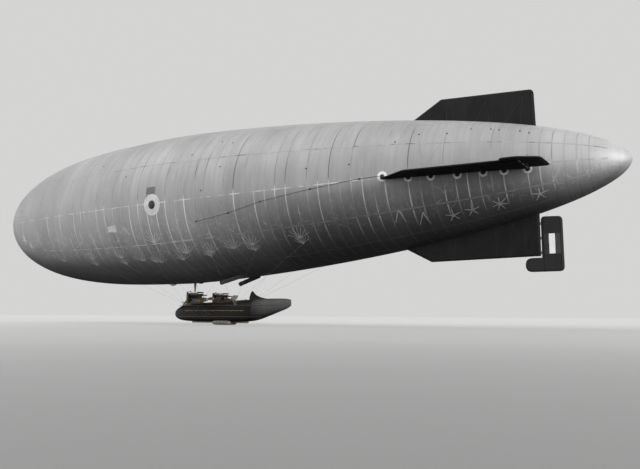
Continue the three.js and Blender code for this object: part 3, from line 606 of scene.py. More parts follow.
def ring_patch(station, angle, outer, inner, sides=24):
    """A flat ring of cloth between two radii."""
    ring = made(bpy.ops.mesh.primitive_circle_add, vertices=sides, radius=outer)
    middle = (outer + inner) / 2
    with editing(ring):
        for shrink in (middle / outer, inner / middle):
            bpy.ops.mesh.extrude_edges_move()
            bpy.ops.transform.resize(value=(shrink,) * 3)
    return laid_on_hull(ring, station, angle)


def flat_patch(station, angle, length, fore_width, aft_width):
    """A four-sided patch, centred there, with its own width at the fore and the after end."""
    steps = max(2, round(length / 0.3))
    return laid_on_hull(strip_grid(length, fore_width, aft_width, steps, 6, 0.5), station, angle)


def spaced(start, end, steps):
    """Values at even steps, with both ends."""
    return [start + (end - start) * i / steps for i in range(steps + 1)]


def both_sides(piece):
    """Adds the mirrored half on the other side of the ship."""
    return modified(piece, "MIRROR", use_axis=(False, True, False))


def cloth_patch(name, pieces, material, *nodes_replaced, lift=0.0):
    """Joins flat patches, gives them their thickness, and makes those of the other side."""
    thickness = 2 * (PATCH_THICKNESS + lift)
    patch = both_sides(modified(faces_out(joined(pieces)), "SOLIDIFY", thickness=thickness, offset=0))
    settled(patch, name, "envelope_cloth", material, *nodes_replaced, crease=None)


def surface(name, roughness, low, high, size, detail=5, bump=None, soil=None, **settings):
    """A finish in blotches from a low to a high tone, its bump as size, detail, depth, strength, and
    darkened by a share that a given function of the tree may give."""
    material, tree = finish(name, roughness, **settings)
    colour = ramp(tree, blotches(tree, size, detail), (0.3, low), (0.7, high))
    if soil:
        colour = times(tree, colour, soil(tree))
    shaded(tree, Base_Color=colour)
    if bump:
        size, detail, depth, strength = bump
        relief(tree, blotches(tree, size, detail), depth, strength)
    return material


def eye(station, angle, radius):
    """A small domed toggle on the skin."""
    toggle = made(bpy.ops.mesh.primitive_uv_sphere_add, segments=12, ring_count=8, radius=radius)
    return laid_on_hull(reshaped(toggle, lambda x, y, z: (x, y, z / 2)), station, angle)


def wire(points, radius, sides=2):
    """A round wire through the points, with closed ends, made a mesh."""
    deselect()
    curve = bpy.data.curves.new("wire", "CURVE")
    curve.dimensions = "3D"
    curve.bevel_depth = radius
    curve.bevel_resolution = sides
    curve.use_fill_caps = True
    spline = curve.splines.new("POLY")
    spline.points.add(len(points) - 1)
    for knot, point in zip(spline.points, points):
        knot.co = (*point, 1)
    piece = bpy.data.objects.new("wire", curve)
    bpy.context.collection.objects.link(piece)
    only(piece)
    bpy.ops.object.convert(target="MESH")
    return bpy.context.object


def line_on_hull(stops, radius, proud):
    """A round line held just off the skin, from stop to stop."""
    points = []
    for (fore, low), (aft, high) in zip(stops, stops[1:]):
        spots = zip(spaced(fore, aft, LINE_STEPS)[:-1], spaced(low, high, LINE_STEPS))
        points += [on_hull(*spot, proud) for spot in spots]
    return wire(points + [on_hull(*stops[-1], proud)], radius)


def patch_dirt_and_shade(tree):
    """The grime and painted shade of the skin show on its patches too, but less."""
    return ramp(tree, hull_dirt_and_shade(tree), (0.0, 0.3), (1.0, 1.0))


CLOTH_BUMP = (0.008, 3, 0.0008, 0.5)
patch_cloth = surface("patch_cloth", 0.85, 0.42, 0.62, 0.12, 6, CLOTH_BUMP, patch_dirt_and_shade)
white_cloth = surface("white_patch_cloth", 0.8, 0.6, 0.76, 0.08, bump=CLOTH_BUMP)
grey_cloth = surface("grey_patch_cloth", 0.7, 0.2, 0.27, 0.3, 6, CLOTH_BUMP)
tarred = surface("tarred_line", 0.6, 0.008, 0.02, 0.05, bump=(0.003, 2, 0.001, 1.0))

fans = [flat_patch(*SIDE_PATCH)]
fans += [finger_patch(station, angle, 0.46, 7, 130) for station, angle in BELLY_FANS]
fans += [finger_patch(station, angle, 0.24 if spread == 360 else 0.5, fingers, spread, heading, 1.6)
         for station, angle, fingers, spread, heading in TAIL_FANS]
cloth_patch("finger_patches", fans, patch_cloth)
eyes = [ring_patch(*spot, 0.14 if i else 0.165, 0.07) for i, spot in enumerate(FIN_ROOT_EYES)]
eyes += [finger_patch(*row) for row in BOW_FANS]
cloth_patch("eye_patches", eyes, white_cloth, lift=0.001)
cloth_patch("rip_panels", [flat_patch(*RIP_PANEL)], grey_cloth)
toggles = [eye(*spot, 0.03) for spot in BACK_EYES]
toggles += [eye(*spot, 0.075) for spot in FIN_ROOT_EYES]
toggles += [eye(*spot, 0.035) for spot in CONTROL_LINE[:-1]]
toggles += [line_on_hull(CONTROL_LINE, 0.006, 0.012), line_on_hull(PATCH_LINE, 0.004, 0.01)]
settled(both_sides(joined(toggles)), "eyes_and_lines", "dark_cloth", tarred, crease=None)

# Fins, rudder and elevators
# Frames of spruce and wire under black doped cloth. The ribs show as taped bands round each
# panel, and the rudder carries a panel of three upright stripes.
RIB_PROUD = 0.003
RIB_HALF_WIDTH = 0.014
STRIPE_PROUD = 0.0015
STRIPE_LOW = -5.28 * SCALE
STRIPE_HIGH = -4.06 * SCALE
STRIPES = [
    # name, fore, aft, low tone, high tone
    ("dark", 53.38, 53.73, 0.012, 0.02),
    ("white", 53.73, 54.08, 0.82, 0.92),
    ("grey", 54.08, 54.45, 0.03, 0.045),
]
FIN_RIBS = [45.1, 46.0, 46.9, 47.8, 48.7, 49.6, 50.5, 51.4, 52.3, 53.05]
FLAP_RIBS = [53.42, 54.42]
FIXED_FINS = ["top_fin", "bottom_fin", "side_fin_port", "side_fin_starboard"]
FLAPS = ["rudder", "elevator_port", "elevator_starboard"]


def duplicate(piece):
    """A copy with its own mesh, at the origin."""
    copy = piece.copy()
    copy.data = piece.data.copy()
    bpy.context.collection.objects.link(copy)
    return copy


def swollen_copy(node_name, proud):
    """A merged copy of a solid, a little larger all round, to cut bands and panels from."""
    copy = duplicate(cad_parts[node_name])
    copy.parent = None
    copy.matrix_world = Matrix.Identity(4)
    copy.hide_render = False
    copy.hide_viewport = False
    faces_out(copy)
    with editing(copy):
        bpy.ops.transform.shrink_fatten(value=proud, use_even_offset=True)
    return copy


def cut_to(piece, low, high, fill=True):
    """Cuts away what lies outside two corners, and fills the cuts or leaves them open."""
    with editing(piece):
        for corner, sense in ((low, -1), (high, 1)):
            for axis in range(3):
                if corner[axis] is None:
                    continue
                point, normal = [0, 0, 0], [0, 0, 0]
                point[axis], normal[axis] = corner[axis], sense
                bpy.ops.mesh.select_all(action="SELECT")
                bpy.ops.mesh.bisect(plane_co=point, plane_no=normal, use_fill=fill, clear_outer=True)
    return piece


def fin_finish(name, low, high):
    """Doped cloth with streaks of rain, from a low to a high tone."""
    material, tree = finish(name, 0.7, Specular_IOR_Level=0.14)
    tone = ramp(tree, blotches(tree, 0.9, 4), (0.3, low), (0.7, high))
    streak = ramp(tree, blotches(tree, 0.1, 6, (1, 1, 0.15)), (0.35, 0.88), (0.6, 1.0))
    shaded(tree, Base_Color=times(tree, tone, streak))
    relief(tree, blotches(tree, 0.25, 4), 0.006, 0.35)
    return material


def refinished(node_name, material):
    """Gives a solid that shows as it is its finish."""
    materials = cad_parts[node_name].data.materials
    materials.clear()
    materials.append(material)


fin_cloth = fin_finish("black_doped_cloth", 0.009, 0.016)
rudder_cloth = fin_finish("dark_grey_doped_cloth", 0.02, 0.032)
fin_tape = fin_finish("fin_rib_tape", 0.012, 0.022)
for panel_name in FIXED_FINS + FLAPS:
    refinished(panel_name, rudder_cloth if panel_name == "rudder" else fin_cloth)
    low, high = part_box(panel_name)
    bands = []
    for station in FLAP_RIBS if panel_name in FLAPS else FIN_RIBS:
        x = place(station, 0, 0).x
        if low.x < x - RIB_HALF_WIDTH and x + RIB_HALF_WIDTH < high.x:
            ends = (x - RIB_HALF_WIDTH, None, None), (x + RIB_HALF_WIDTH, None, None)
            bands.append(cut_to(swollen_copy(panel_name, RIB_PROUD), *ends))
    body = panel_name if panel_name in FLAPS else "ship"
    settled(bands, f"ribs_{panel_name}", "fin_cloth", fin_tape, body=body, crease=None)
for tone, fore, aft, low_tone, high_tone in STRIPES:
    stripe_paint = surface(f"stripe_{tone}", 0.55, low_tone, high_tone, 0.2, 6, (0.02, 4, 0.0005, 0.3))
    ends = (place(aft, 0, 0).x, None, STRIPE_LOW), (place(fore, 0, 0).x, None, STRIPE_HIGH)
    stripe = cut_to(swollen_copy("rudder", STRIPE_PROUD), *ends)
    settled(stripe, f"rudder_stripe_{tone}", "rudder_cloth", stripe_paint, body="rudder", crease=None)

# Car shell
# A streamlined boat of three-ply over ash frames, with a wall 20 mm thick. The nose, the tub, the
# deck with its four cockpits and the tail meet at the frames, and brass tacks follow the joints.
CAR_SECTIONS = [
    # station, top, bottom, half width
    (22.38, -8.9, -9.06, 0.06),
    (22.46, -8.76, -9.17, 0.17),
    (22.7, -8.58, -9.34, 0.33),
    (23.3, -8.32, -9.52, 0.54),
    (24.5, -8.16, -9.6, 0.7),
    (26.3, -8.09, -9.62, 0.76),
    (28.4, -8.0, -9.62, 0.76),
    (30.3, -7.88, -9.58, 0.72),
    (31.3, -7.81, -9.46, 0.66),
    (32.2, -7.78, -9.2, 0.55),
    (33.3, -7.77, -8.85, 0.37),
    (34.2, -7.8, -8.55, 0.2),
    (34.55, -7.87, -8.35, 0.11),
]
SECTION_POWER = 2.9
CAR_WALL = 0.04
CAR_SIDES = 64
GUNWALE_LEVEL = -8.3
CABIN_FORE = 23.1
CABIN_AFT = 31.2
PLANK_GAP = 0.002
COCKPITS = [
    # name, windscreen foot, opening fore, opening aft, half width, has a wheel
    ("coxswain", 23.35, 23.8, 24.6, 0.3, True),
    ("pilot", 25.1, 25.55, 26.4, 0.34, True),
    ("mechanic", 26.85, 27.3, 28.15, 0.34, False),
    ("wireless", 28.6, 29.1, 30.2, 0.34, False),
]
HOLE_CORNER = 0.15


def faired(rows, station):
    """The values of a table at a station, faired through its rows."""
    station = min(max(station, rows[0][0]), rows[-1][0])
    i = max(k for k in range(len(rows) - 1) if rows[k][0] <= station)
    span = rows[i + 1][0] - rows[i][0]
    share = (station - rows[i][0]) / span
    values = []
    for column in range(1, len(rows[0])):
        slopes = []
        for k in (i, i + 1):
            fore, aft = rows[max(k - 1, 0)], rows[min(k + 1, len(rows) - 1)]
            slopes.append((aft[column] - fore[column]) / (aft[0] - fore[0]) * span)
        start, end = rows[i][column], rows[i + 1][column]
        values.append(
            (2 * share**3 - 3 * share**2 + 1) * start + (share**3 - 2 * share**2 + share) * slopes[0]
            + (3 * share**2 - 2 * share**3) * end + (share**3 - share**2) * slopes[1])
    return values


def fullness(share):
    """How far the car's section reaches one way, at this share of its reach the other way."""
    return max(0, 1 - abs(share) ** SECTION_POWER) ** (1 / SECTION_POWER)


def deck_level(station, across=0.0):
    top, bottom, half = faired(CAR_SECTIONS, station)
    return (top + bottom) / 2 + (top - bottom) / 2 * fullness(across / half)


def side_reach(station, level):
    """The half width of the car at a level."""
    top, bottom, half = faired(CAR_SECTIONS, station)
    return half * fullness((level - (top + bottom) / 2) / ((top - bottom) / 2))


car_stations = [22.375, 22.38, 22.4, 22.44, 22.5, 22.58, 22.7, 22.86]
car_stations += [23.0 + 0.2 * i for i in range(57)] + [34.3, 34.42, 34.5, 34.54, 34.555]


def car_point(ring, share):
    station = car_stations[ring]
    top, bottom, half = faired(CAR_SECTIONS, station)
    if ring in (0, len(car_stations) - 1):
        return place(station, 0, (top + bottom) / 2)
    turn = -2 * pi * share
    across, up = [copysign(abs(part) ** (2 / SECTION_POWER), part) for part in (cos(turn), sin(turn))]
    return place(station, half * across, (top + bottom) / 2 + (top - bottom) / 2 * up)


def block(low, high, edge=0.0, steps=2):
    """A squared piece between two corners, with its edges rounded."""

    def fitted(*corner):
        return [(a + b) / 2 + share * abs(b - a) / 2 for a, b, share in zip(low, high, corner)]

    piece = reshaped(made(bpy.ops.mesh.primitive_cube_add, size=2), fitted)
    return modified(piece, "BEVEL", width=edge, segments=steps) if edge else piece


def cockpit_cutter(fore, aft, half_width):
    """A block with its upright edges rounded."""
    low = place(aft, -half_width, GUNWALE_LEVEL - 0.3)
    cutter = block(low, place(fore, half_width, GUNWALE_LEVEL + 0.7))
    with editing(cutter):
        bpy.ops.mesh.select_all(action="DESELECT")
    for edge in cutter.data.edges:
        ends = [cutter.data.vertices[i].co for i in edge.vertices]
        edge.select = abs(ends[0].z - ends[1].z) > 0.01
    bpy.ops.object.mode_set(mode="EDIT")
    bpy.ops.mesh.select_mode(type="EDGE")
    bpy.ops.mesh.bevel(offset=HOLE_CORNER * SCALE, segments=6)
    bpy.ops.mesh.select_mode(type="VERT")
    bpy.ops.object.mode_set(mode="OBJECT")
    return cutter


def roughened(tree, value, roughness, smoother, rougher):
    """Lets the roughness vary with a value, by so much below and above."""
    rough = node(tree, "MapRange", value, To_Min=roughness - smoother, To_Max=roughness + rougher)
    shaded(tree, Roughness=rough.outputs[0])


def paint(name, dark, light, roughness, wear, soil=None):
    """Brushed paint, rubbed lighter in places, and darkened by a share that a given function of the tree
    may give.
    """
    material, tree = finish(name, roughness, Specular_IOR_Level=0.12)
    tone = ramp(tree, blotches(tree, 0.5, 6), (0.3, dark), (0.7, light))
    scuffs = ramp(tree, blotches(tree, 0.03, 8, (1, 1, 0.4), 0.7), (0.56, 0.0), (0.74, wear))
    pale = ramp(tree, blotches(tree, 0.1), (0.0, light * 2.4), (1.0, light * 3))
    colour = mixed(tree, tone, pale, scuffs)
    if soil:
        colour = times(tree, colour, soil(tree))
    shaded(tree, Base_Color=colour)
    roughened(tree, blotches(tree, 0.2), roughness, 0.12, 0.15)
    relief(tree, blotches(tree, 0.02, 4), 0.0008, 0.3)
    return material


def tail_darker_below_and_fore(tree):
    """The tail is darker towards its bottom and towards where it meets the deck."""
    height = rise(tree, on_object(tree), "Z", place(0, 0, -9.2).z, place(0, 0, -7.8).z)
    below = ramp(tree, height, (0.07, 0.25), (0.36, 0.5), (0.64, 0.8), (0.93, 1.0))
    return times(tree, below, ramp(tree, along_ship(tree, 31.0, 32.4), (0.0, 0.4), (1.0, 1.0)))


# Near black: the car's own dark paint, and painted shade of the gas bag above it.
car_paint = paint("dark_car_paint", 0.005, 0.009, 0.5, wear=0.15)
tail_paint = paint("grey_tail_paint", 0.08, 0.11, 0.5, wear=0.3, soil=tail_darker_below_and_fore)
deck_paint = paint("black_deck_paint", 0.012, 0.022, 0.55, wear=0.3)

half_gap = PLANK_GAP / 2
cabin_fore, cabin_aft = place(CABIN_FORE, 0, 0).x, place(CABIN_AFT, 0, 0).x
gunwale = GUNWALE_LEVEL * SCALE
UNCUT = (None, None, None)
SHELL_PARTS = [
    # name, low corner, high corner, slot, finish, nodes replaced
    ("car_nose_skin", (cabin_fore + half_gap, None, None), UNCUT, "car_paint", car_paint, ["car_nose"]),
    ("car_tub_skin", (cabin_aft + half_gap, None, None), (cabin_fore - half_gap, None, gunwale - half_gap),
     "car_paint", car_paint, ["car_tub_fore", "car_tub_aft"]),
    ("car_deck_skin", (cabin_aft + half_gap, None, gunwale + half_gap), (cabin_fore - half_gap, None, None),
     "deck_paint", deck_paint, ["car_deck_fore", "car_deck_aft"]),
    ("car_tail_skin", UNCUT, (cabin_aft - half_gap, None, None), "car_paint", tail_paint, ["car_tail"]),
]
shell_form = drawn_form(CAR_SIDES, len(car_stations) - 1, car_point)
for part_name, low, high, slot_name, material, nodes_replaced in SHELL_PARTS:
    part = cut_to(duplicate(shell_form), low, high, fill=False)
    modified(part, "SOLIDIFY", thickness=CAR_WALL * SCALE, offset=-1)
    if part_name in ("car_tub_skin", "car_deck_skin"):
        for _, _, fore, aft, reach, _ in COCKPITS:
            cutter = cockpit_cutter(fore, aft, reach)
            modified(part, "BOOLEAN", operation="DIFFERENCE", object=cutter, solver="EXACT")
            bpy.data.objects.remove(cutter)
    settled(part, part_name, slot_name, material, *nodes_replaced)
bpy.data.objects.remove(shell_form)

# Tacks and rubbing strakes of the car
# Ash battens cover the joint of tub and deck and run along the bilge, and brass tacks hold the
# three-ply to its frames.
FRAME_STATIONS = [23.1, 24.7, 26.5, 28.3, 30.3, 31.2, 32.4, 33.4]
TACK_RADIUS = 0.0045
TACK_SPACING = 0.11
TACK_ENDS = (23.2, 33.0)
TACK_LEVELS = (GUNWALE_LEVEL - 0.06, GUNWALE_LEVEL + 0.06, -9.3)
FRAME_TACKS = 9
FRAME_TACK_MARGIN = 0.16
STRAKE_RADIUS = 0.011
STRAKE_STEPS = 60
GRAIN = (1, 14, 14)
GRAIN_LENGTH = 0.25
STRAKES = [
    # level, fore end, aft end
    (GUNWALE_LEVEL, 22.75, 33.9),
    (-9.2, 23.3, 32.0),
]
SIDES = [("port", 1), ("starboard", -1)]


def on_car(station, level, side, proud=0.0):
    """A point on the car's side at a level."""
    return place(station, 0, level) + Vector((0, side * (side_reach(station, level) * SCALE + proud), 0))


def timber(name, dark, light, roughness=0.45):
    """Varnished wood with its grain along the ship."""
    material, tree = finish(name, roughness, Coat_Weight=0.25, Coat_Roughness=0.3)
    figure = blotches(tree, GRAIN_LENGTH, 8, GRAIN, 0.6)
    shaded(tree, Base_Color=ramp(tree, figure, (0.3, dark), (0.7, light)))
    relief(tree, blotches(tree, GRAIN_LENGTH / 4, 6, GRAIN), 0.0008, 0.3)
    return material


def metal(name, dark, light, roughness, stain=(0.03, 0.028, 0.025)):
    """Bare metal, tarnished in patches."""
    material, tree = finish(name, roughness, 0.9)
    tone = ramp(tree, blotches(tree, 0.08, 6), (0.3, dark), (0.7, light))
    soot = ramp(tree, blotches(tree, 0.15, 8, rough=0.65), (0.5, 0.0), (0.72, 0.75))
    dull = ramp(tree, blotches(tree, 0.02), (0.0, stain), (1.0, tuple(2 * part for part in stain)))
    shaded(tree, Base_Color=mixed(tree, tone, dull, soot))
    roughened(tree, blotches(tree, 0.05, 6), roughness, 0.1, 0.25)
    relief(tree, blotches(tree, 0.006, 4), 0.0004, 0.3)
    return material


spots = []
for _, side in SIDES:
    for level in TACK_LEVELS:
        for i in range(int((TACK_ENDS[1] - TACK_ENDS[0]) / TACK_SPACING)):
            station = TACK_ENDS[0] + i * TACK_SPACING
            if side_reach(station, level) > 0.1:
                spots.append((on_car(station, level, side), side))
    for station in FRAME_STATIONS:
        top, bottom, _ = faired(CAR_SECTIONS, station)
        margin = FRAME_TACK_MARGIN * (top - bottom)
        for level in spaced(bottom + margin, top - margin, FRAME_TACKS - 1):
            spots.append((on_car(station + 0.03, level, side), side))
tack = made(
    bpy.ops.mesh.primitive_cone_add,
    vertices=6,
    radius1=TACK_RADIUS,
    radius2=TACK_RADIUS * 0.4,
    depth=TACK_RADIUS,
)
tacks = []
for point, side in spots:
    tacks.append(duplicate(tack))
    outward = Vector((0, side, 0)).to_track_quat("Z", "Y").to_matrix().to_4x4()
    tacks[-1].data.transform(Matrix.Translation(point) @ outward)
bpy.data.objects.remove(tack)
brass = metal("tarnished_brass", (0.42, 0.3, 0.13), (0.62, 0.47, 0.22), 0.35)
settled(tacks, "brass_tacks", "wheel_brass", brass)

strakes = []
for _, side in SIDES:
    for level, fore, aft in STRAKES:
        points = [on_car(station, level, side, 0.002) for station in spaced(fore, aft, STRAKE_STEPS)]
        strakes.append(wire(points, STRAKE_RADIUS, 3))
ash = timber("varnished_ash", (0.12, 0.07, 0.035), (0.26, 0.17, 0.09))
# The rubbing strakes are near black like the car: stained ash, and painted shade as well.
stained_ash = timber("stained_ash", (0.02, 0.012, 0.007), (0.055, 0.036, 0.021), 0.6)
settled(strakes, "rubbing_strakes", "ash_wood", stained_ash)

# Cockpit coamings
# Each opening has a padded roll of leather, stuffed with hair and sewn along its inner edge.
COAMING_RADIUS = 0.05
COAMING_STEP = 0.04
COAMING_LIFT = 0.02


def pores(material, scale, depth):
    """Relief of fine cells, as a grain or a weave."""
    tree = material.node_tree
    relief(tree, node(tree, "TexVoronoi", on_object(tree), Scale=scale).outputs["Distance"], depth, 0.5)


def opening_outline(fore, aft, half_width, corner, steps=6):
    """Points [station, across] round an opening with round corners."""
    inner = half_width - corner
    outline = []
    for station, across, start in ((aft - corner, inner, 0), (fore + corner, inner, 90),
                                   (fore + corner, -inner, 180), (aft - corner, -inner, 270)):
        for i in range(steps + 1):
            turn = radians(start + 90 * i / steps)
            outline.append((station + corner * cos(turn), across + corner * sin(turn)))
    return outline


def torus_of(around, across, **settings):
    """A torus with so many faces round it and across it."""
    sides = {"major_segments": around, "minor_segments": across}
    return made(bpy.ops.mesh.primitive_torus_add, **sides, **settings)


def ring_tube(points, radius, sides, swell=None):
    """A closed tube through the points, its radius scaled at each by swell."""
    count = len(points)

    def on_tube(x, y, z):
        i = round(atan2(y, x) / (2 * pi) * count) % count
        turn = atan2(z, hypot(x, y) - 1)
        along = (points[(i + 1) % count] - points[i - 1]).normalized()
        outward = along.cross(Z_AXIS).normalized()
        thick = radius * (swell[i] if swell else 1)
        return points[i] + thick * (outward * cos(turn) + along.cross(outward) * -sin(turn))

    torus = torus_of(count, sides, major_radius=1, minor_radius=0.25)
    return faces_out(reshaped(torus, on_tube))


leather = surface("brown_leather", 0.5, (0.045, 0.02, 0.01), (0.11, 0.05, 0.026), 0.06, 6, Coat_Weight=0.15)
pores(leather, 260, 0.0012)
for cockpit, _, fore, aft, reach, _ in COCKPITS:
    outline = opening_outline(fore, aft, reach, HOLE_CORNER)
    points = []
    for (s0, a0), (s1, a1) in zip(outline, outline[1:] + outline[:1]):
        steps = max(1, round(hypot(s1 - s0, a1 - a0) / COAMING_STEP))
        for station, across in zip(spaced(s0, s1, steps)[:-1], spaced(a0, a1, steps)):
            points.append(place(station, across, deck_level(station, across) + COAMING_LIFT))
    creases = [1 - 0.07 * (i % 3 == 0) for i in range(len(points))]
    roll = ring_tube(points, COAMING_RADIUS * SCALE, 12, creases)
    settled(roll, f"coaming_{cockpit}", "seat_leather", leather, crease=60)

# Seats and cushions
# Ash bucket seats with a pedestal locker, each with a leather cushion and back pad stuffed with
# hair, drawn in by five buttons and edged with a sewn welt.
SEAT_LEVEL = -8.95
FLOOR_LEVEL = -9.36
CUSHION_HALF = (0.1, 0.1, 0.018)
CUSHION_VOXEL = 0.005
CLOTH_PRESSURE = 4
CLOTH_QUALITY = 5
CLOTH_MOMENTS = 20
SWELL_LIMIT = 0.009
BUTTONS = [(0, 0), (0.052, 0.052), (-0.052, 0.052), (0.052, -0.052), (-0.052, -0.052)]
BUTTON_SPREAD = 0.00016
WELT_CORNER = 0.024


def swell(pad):
    """Lets a cloth simulation with pressure inside push the pad's skin out, up to a limit."""
    flat = [vertex.co.copy() for vertex in pad.data.vertices]
    cloth = pad.modifiers.new("swell", "CLOTH")
    cloth.settings.use_pressure = True
    cloth.settings.uniform_pressure_force = CLOTH_PRESSURE
    cloth.settings.effector_weights.gravity = 0
    cloth.settings.quality = CLOTH_QUALITY
    for moment in range(1, CLOTH_MOMENTS + 1):
        bpy.context.scene.frame_set(moment)
    swollen = pad.evaluated_get(bpy.context.evaluated_depsgraph_get())
    moved = [vertex.co.copy() for vertex in swollen.data.vertices]
    pad.modifiers.remove(cloth)
    bpy.context.scene.frame_set(1)
    for vertex, start, end in zip(pad.data.vertices, flat, moved):
        shift = end - start
        vertex.co = start + shift * min(1, SWELL_LIMIT / max(shift.length, 0.000001))


def blocks(at, *rows):
    """Squared pieces, each row its two corners as at() takes them, then its edge and steps."""
    return [block(at(*row[:3]), at(*row[3:6]), *row[6:]) for row in rows]


def ball(point, radius, sides=12):
    rings = sides // 2 + 2
    piece = made(bpy.ops.mesh.primitive_uv_sphere_add, segments=sides, ring_count=rings, radius=radius)
    piece.data.transform(Matrix.Translation(point))
    return piece


def stuffed(half):
    """A cushion about the origin, swollen, and drawn in at its buttons."""
    pad = block([-side for side in half], half, 0.008, 3)
    modified(pad, "REMESH", mode="VOXEL", voxel_size=CUSHION_VOXEL)
    swell(pad)
    crown = max(vertex.co.z for vertex in pad.data.vertices)

    def drawn_in(x, y, z):
        dimple = sum(exp(-((x - bx) ** 2 + (y - by) ** 2) / BUTTON_SPREAD) for bx, by in BUTTONS)
        dome = 1.25 - 0.5 * ((x / half[0]) ** 2 + (y / half[1]) ** 2) / 2
        return x, y, z * dome * (1 - 0.4 * min(1, dimple)) if z > 0 else max(z, -half[2])

    modified(reshaped(pad, drawn_in), "SUBSURF", levels=1, render_levels=1)
    outline = opening_outline(-half[0] - 0.003, half[0] + 0.003, half[1] + 0.003, WELT_CORNER, 8)
    welt = ring_tube([Vector((x, y, 0.004)) for x, y in outline], 0.0032, 8)
    knobs = [ball((bx, by, crown * 0.66), 0.005) for bx, by in BUTTONS]
    return smooth(joined([pad, *knobs, welt]), 60)


cushion = stuffed(CUSHION_HALF)
for cockpit, _, _, aft, _, _ in COCKPITS:
    back = aft + 0.05
    wood = blocks(
        place,
        (back, -0.22, SEAT_LEVEL - 0.06, back - 0.5, 0.22, SEAT_LEVEL - 0.02, 0.006),
        (back, -0.22, SEAT_LEVEL - 0.06, back - 0.035, 0.22, SEAT_LEVEL + 0.5, 0.007, 3),
        (back - 0.05, -0.17, FLOOR_LEVEL, back - 0.45, 0.17, SEAT_LEVEL - 0.06, 0.004),
        (back - 0.44, -0.15, FLOOR_LEVEL + 0.05, back - 0.465, 0.15, SEAT_LEVEL - 0.1, 0.003),
        (back - 0.02, 0.2, SEAT_LEVEL - 0.03, back - 0.42, 0.225, SEAT_LEVEL + 0.14, 0.005, 3),
        (back - 0.02, -0.2, SEAT_LEVEL - 0.03, back - 0.42, -0.225, SEAT_LEVEL + 0.14, 0.005, 3),
    )
    settled(wood, f"seat_frame_{cockpit}", "ash_wood", ash, f"seat_{cockpit}")
    lying = Matrix.Translation(place(back - 0.26, 0, SEAT_LEVEL + 0.03))
    leaning = Matrix.Translation(place(back - 0.085, 0, SEAT_LEVEL + 0.29))
    leaning = leaning @ Matrix.Rotation(pi / 2, 4, "Y")
    for where_on, stand in (("seat", lying), ("back", leaning)):
        pad = duplicate(cushion)
        pad.data.transform(stand)
        settled(pad, f"cushion_{where_on}_{cockpit}", "seat_leather", leather, crease=None)
bpy.data.objects.remove(cushion)
refinished("car_floor", timber("floor_boards", (0.09, 0.06, 0.035), (0.19, 0.13, 0.075), 0.6))

# Windscreens
# Flat panes raked aft, in a frame of bent tube, with two stay brackets screwed to the deck.
SCREEN_RISE = 0.5
SCREEN_LEAN = 0.48
SCREEN_CORNER = 0.12
SCREEN_WIDEST = 0.36
SCREEN_STAY = 0.5
clear = {"Transmission_Weight": 0.8, "IOR": 1.48}
glass = surface("windscreen_glass", 0.03, (0.26, 0.24, 0.19), (0.4, 0.38, 0.31), 0.06, **clear)
tree = glass.node_tree
smear = node(tree, "MapRange", blotches(tree, 0.05, 6, (1, 0.3, 1)), From_Min=0.45, From_Max=0.75)
put(tree, smear, To_Min=0.02, To_Max=0.18)
shaded(tree, Roughness=smear.outputs[0])
tube_steel = metal("enamelled_steel_tube", (0.05, 0.05, 0.05), (0.1, 0.1, 0.1), 0.45)


def screen_point(foot, across, rise_share):
    """A point of a pane: the share runs from 0 at the deck to 1 at its top."""
    base, top = deck_level(foot, across) - 0.015, deck_level(foot) + SCREEN_RISE
    return place(foot + SCREEN_LEAN * rise_share, across, base + (top - base) * rise_share)


def crest(share, corner):
    """How far up the pane reaches, with its top corners rounded."""
    over = max(0, abs(share) - (1 - corner)) / corner
    return 1 - (1 - sqrt(max(0, 1 - over**2))) * SCREEN_CORNER / SCREEN_RISE


for cockpit, foot, _, _, reach, _ in COCKPITS:
    width = min(SCREEN_WIDEST, reach + 0.02)
    corner = SCREEN_CORNER / width
    pane = grid(16, 8)
    reshaped(pane, lambda x, y, z: screen_point(foot, x * width, (y + 1) / 2 * crest(x, corner)))
    modified(faces_out(pane), "SOLIDIFY", thickness=0.004, offset=0)
    settled(pane, f"pane_{cockpit}", "screen_glass", glass, f"windscreen_{cockpit}")
    outline = [(-1, i / 6) for i in range(6)] + [(share / 12, 1) for share in range(-12, 13)]
    outline += [(1, i / 6) for i in range(5, -1, -1)]
    rim = [screen_point(foot, share * width, up * crest(share, corner)) for share, up in outline]
    tubes = [wire(rim, 0.006, 3)]
    for side in (1, -1):
        bracket = foot + SCREEN_STAY
        low = place(bracket, side * (width + 0.01), deck_level(bracket, width + 0.01))
        tubes += [wire([low, screen_point(foot, side * width, 0.6)], 0.0045), ball(low, 0.01)]
    settled(tubes, f"screen_frame_{cockpit}", "tube_steel", tube_steel)

# Controls and instruments
# The fore wheel steers and the next one trims, each on a column with a sprocket for its cables.
# Every cockpit has a small board of dials screwed up under its forward rim.
WHEEL_RADIUS = 0.2
WHEEL_LEVEL = -8.62
SPOKES = 6
BOARD_DROP = 0.06
BOARD_HEIGHT = 0.2
DIAL_RADII = (0.0315, 0.024, 0.0315, 0.0195)
BEZEL = [(0, 1), (0.009, 1), (0.011, 0.94), (0.011, 0.84), (0.005, 0.82)]
HUB_NUT = [(0, 0.016), (0.006, 0.02), (0.02, 0.02), (0.026, 0.014), (0.06, 0.014)]
SPROCKET = [(0, 0.03), (0.003, 0.034), (0.009, 0.034), (0.012, 0.03)]
COLUMN_FOOT = [(0, 0.04), (0.006, 0.04), (0.012, 0.02), (0.04, 0.014)]
DIAL_TICKS = 8


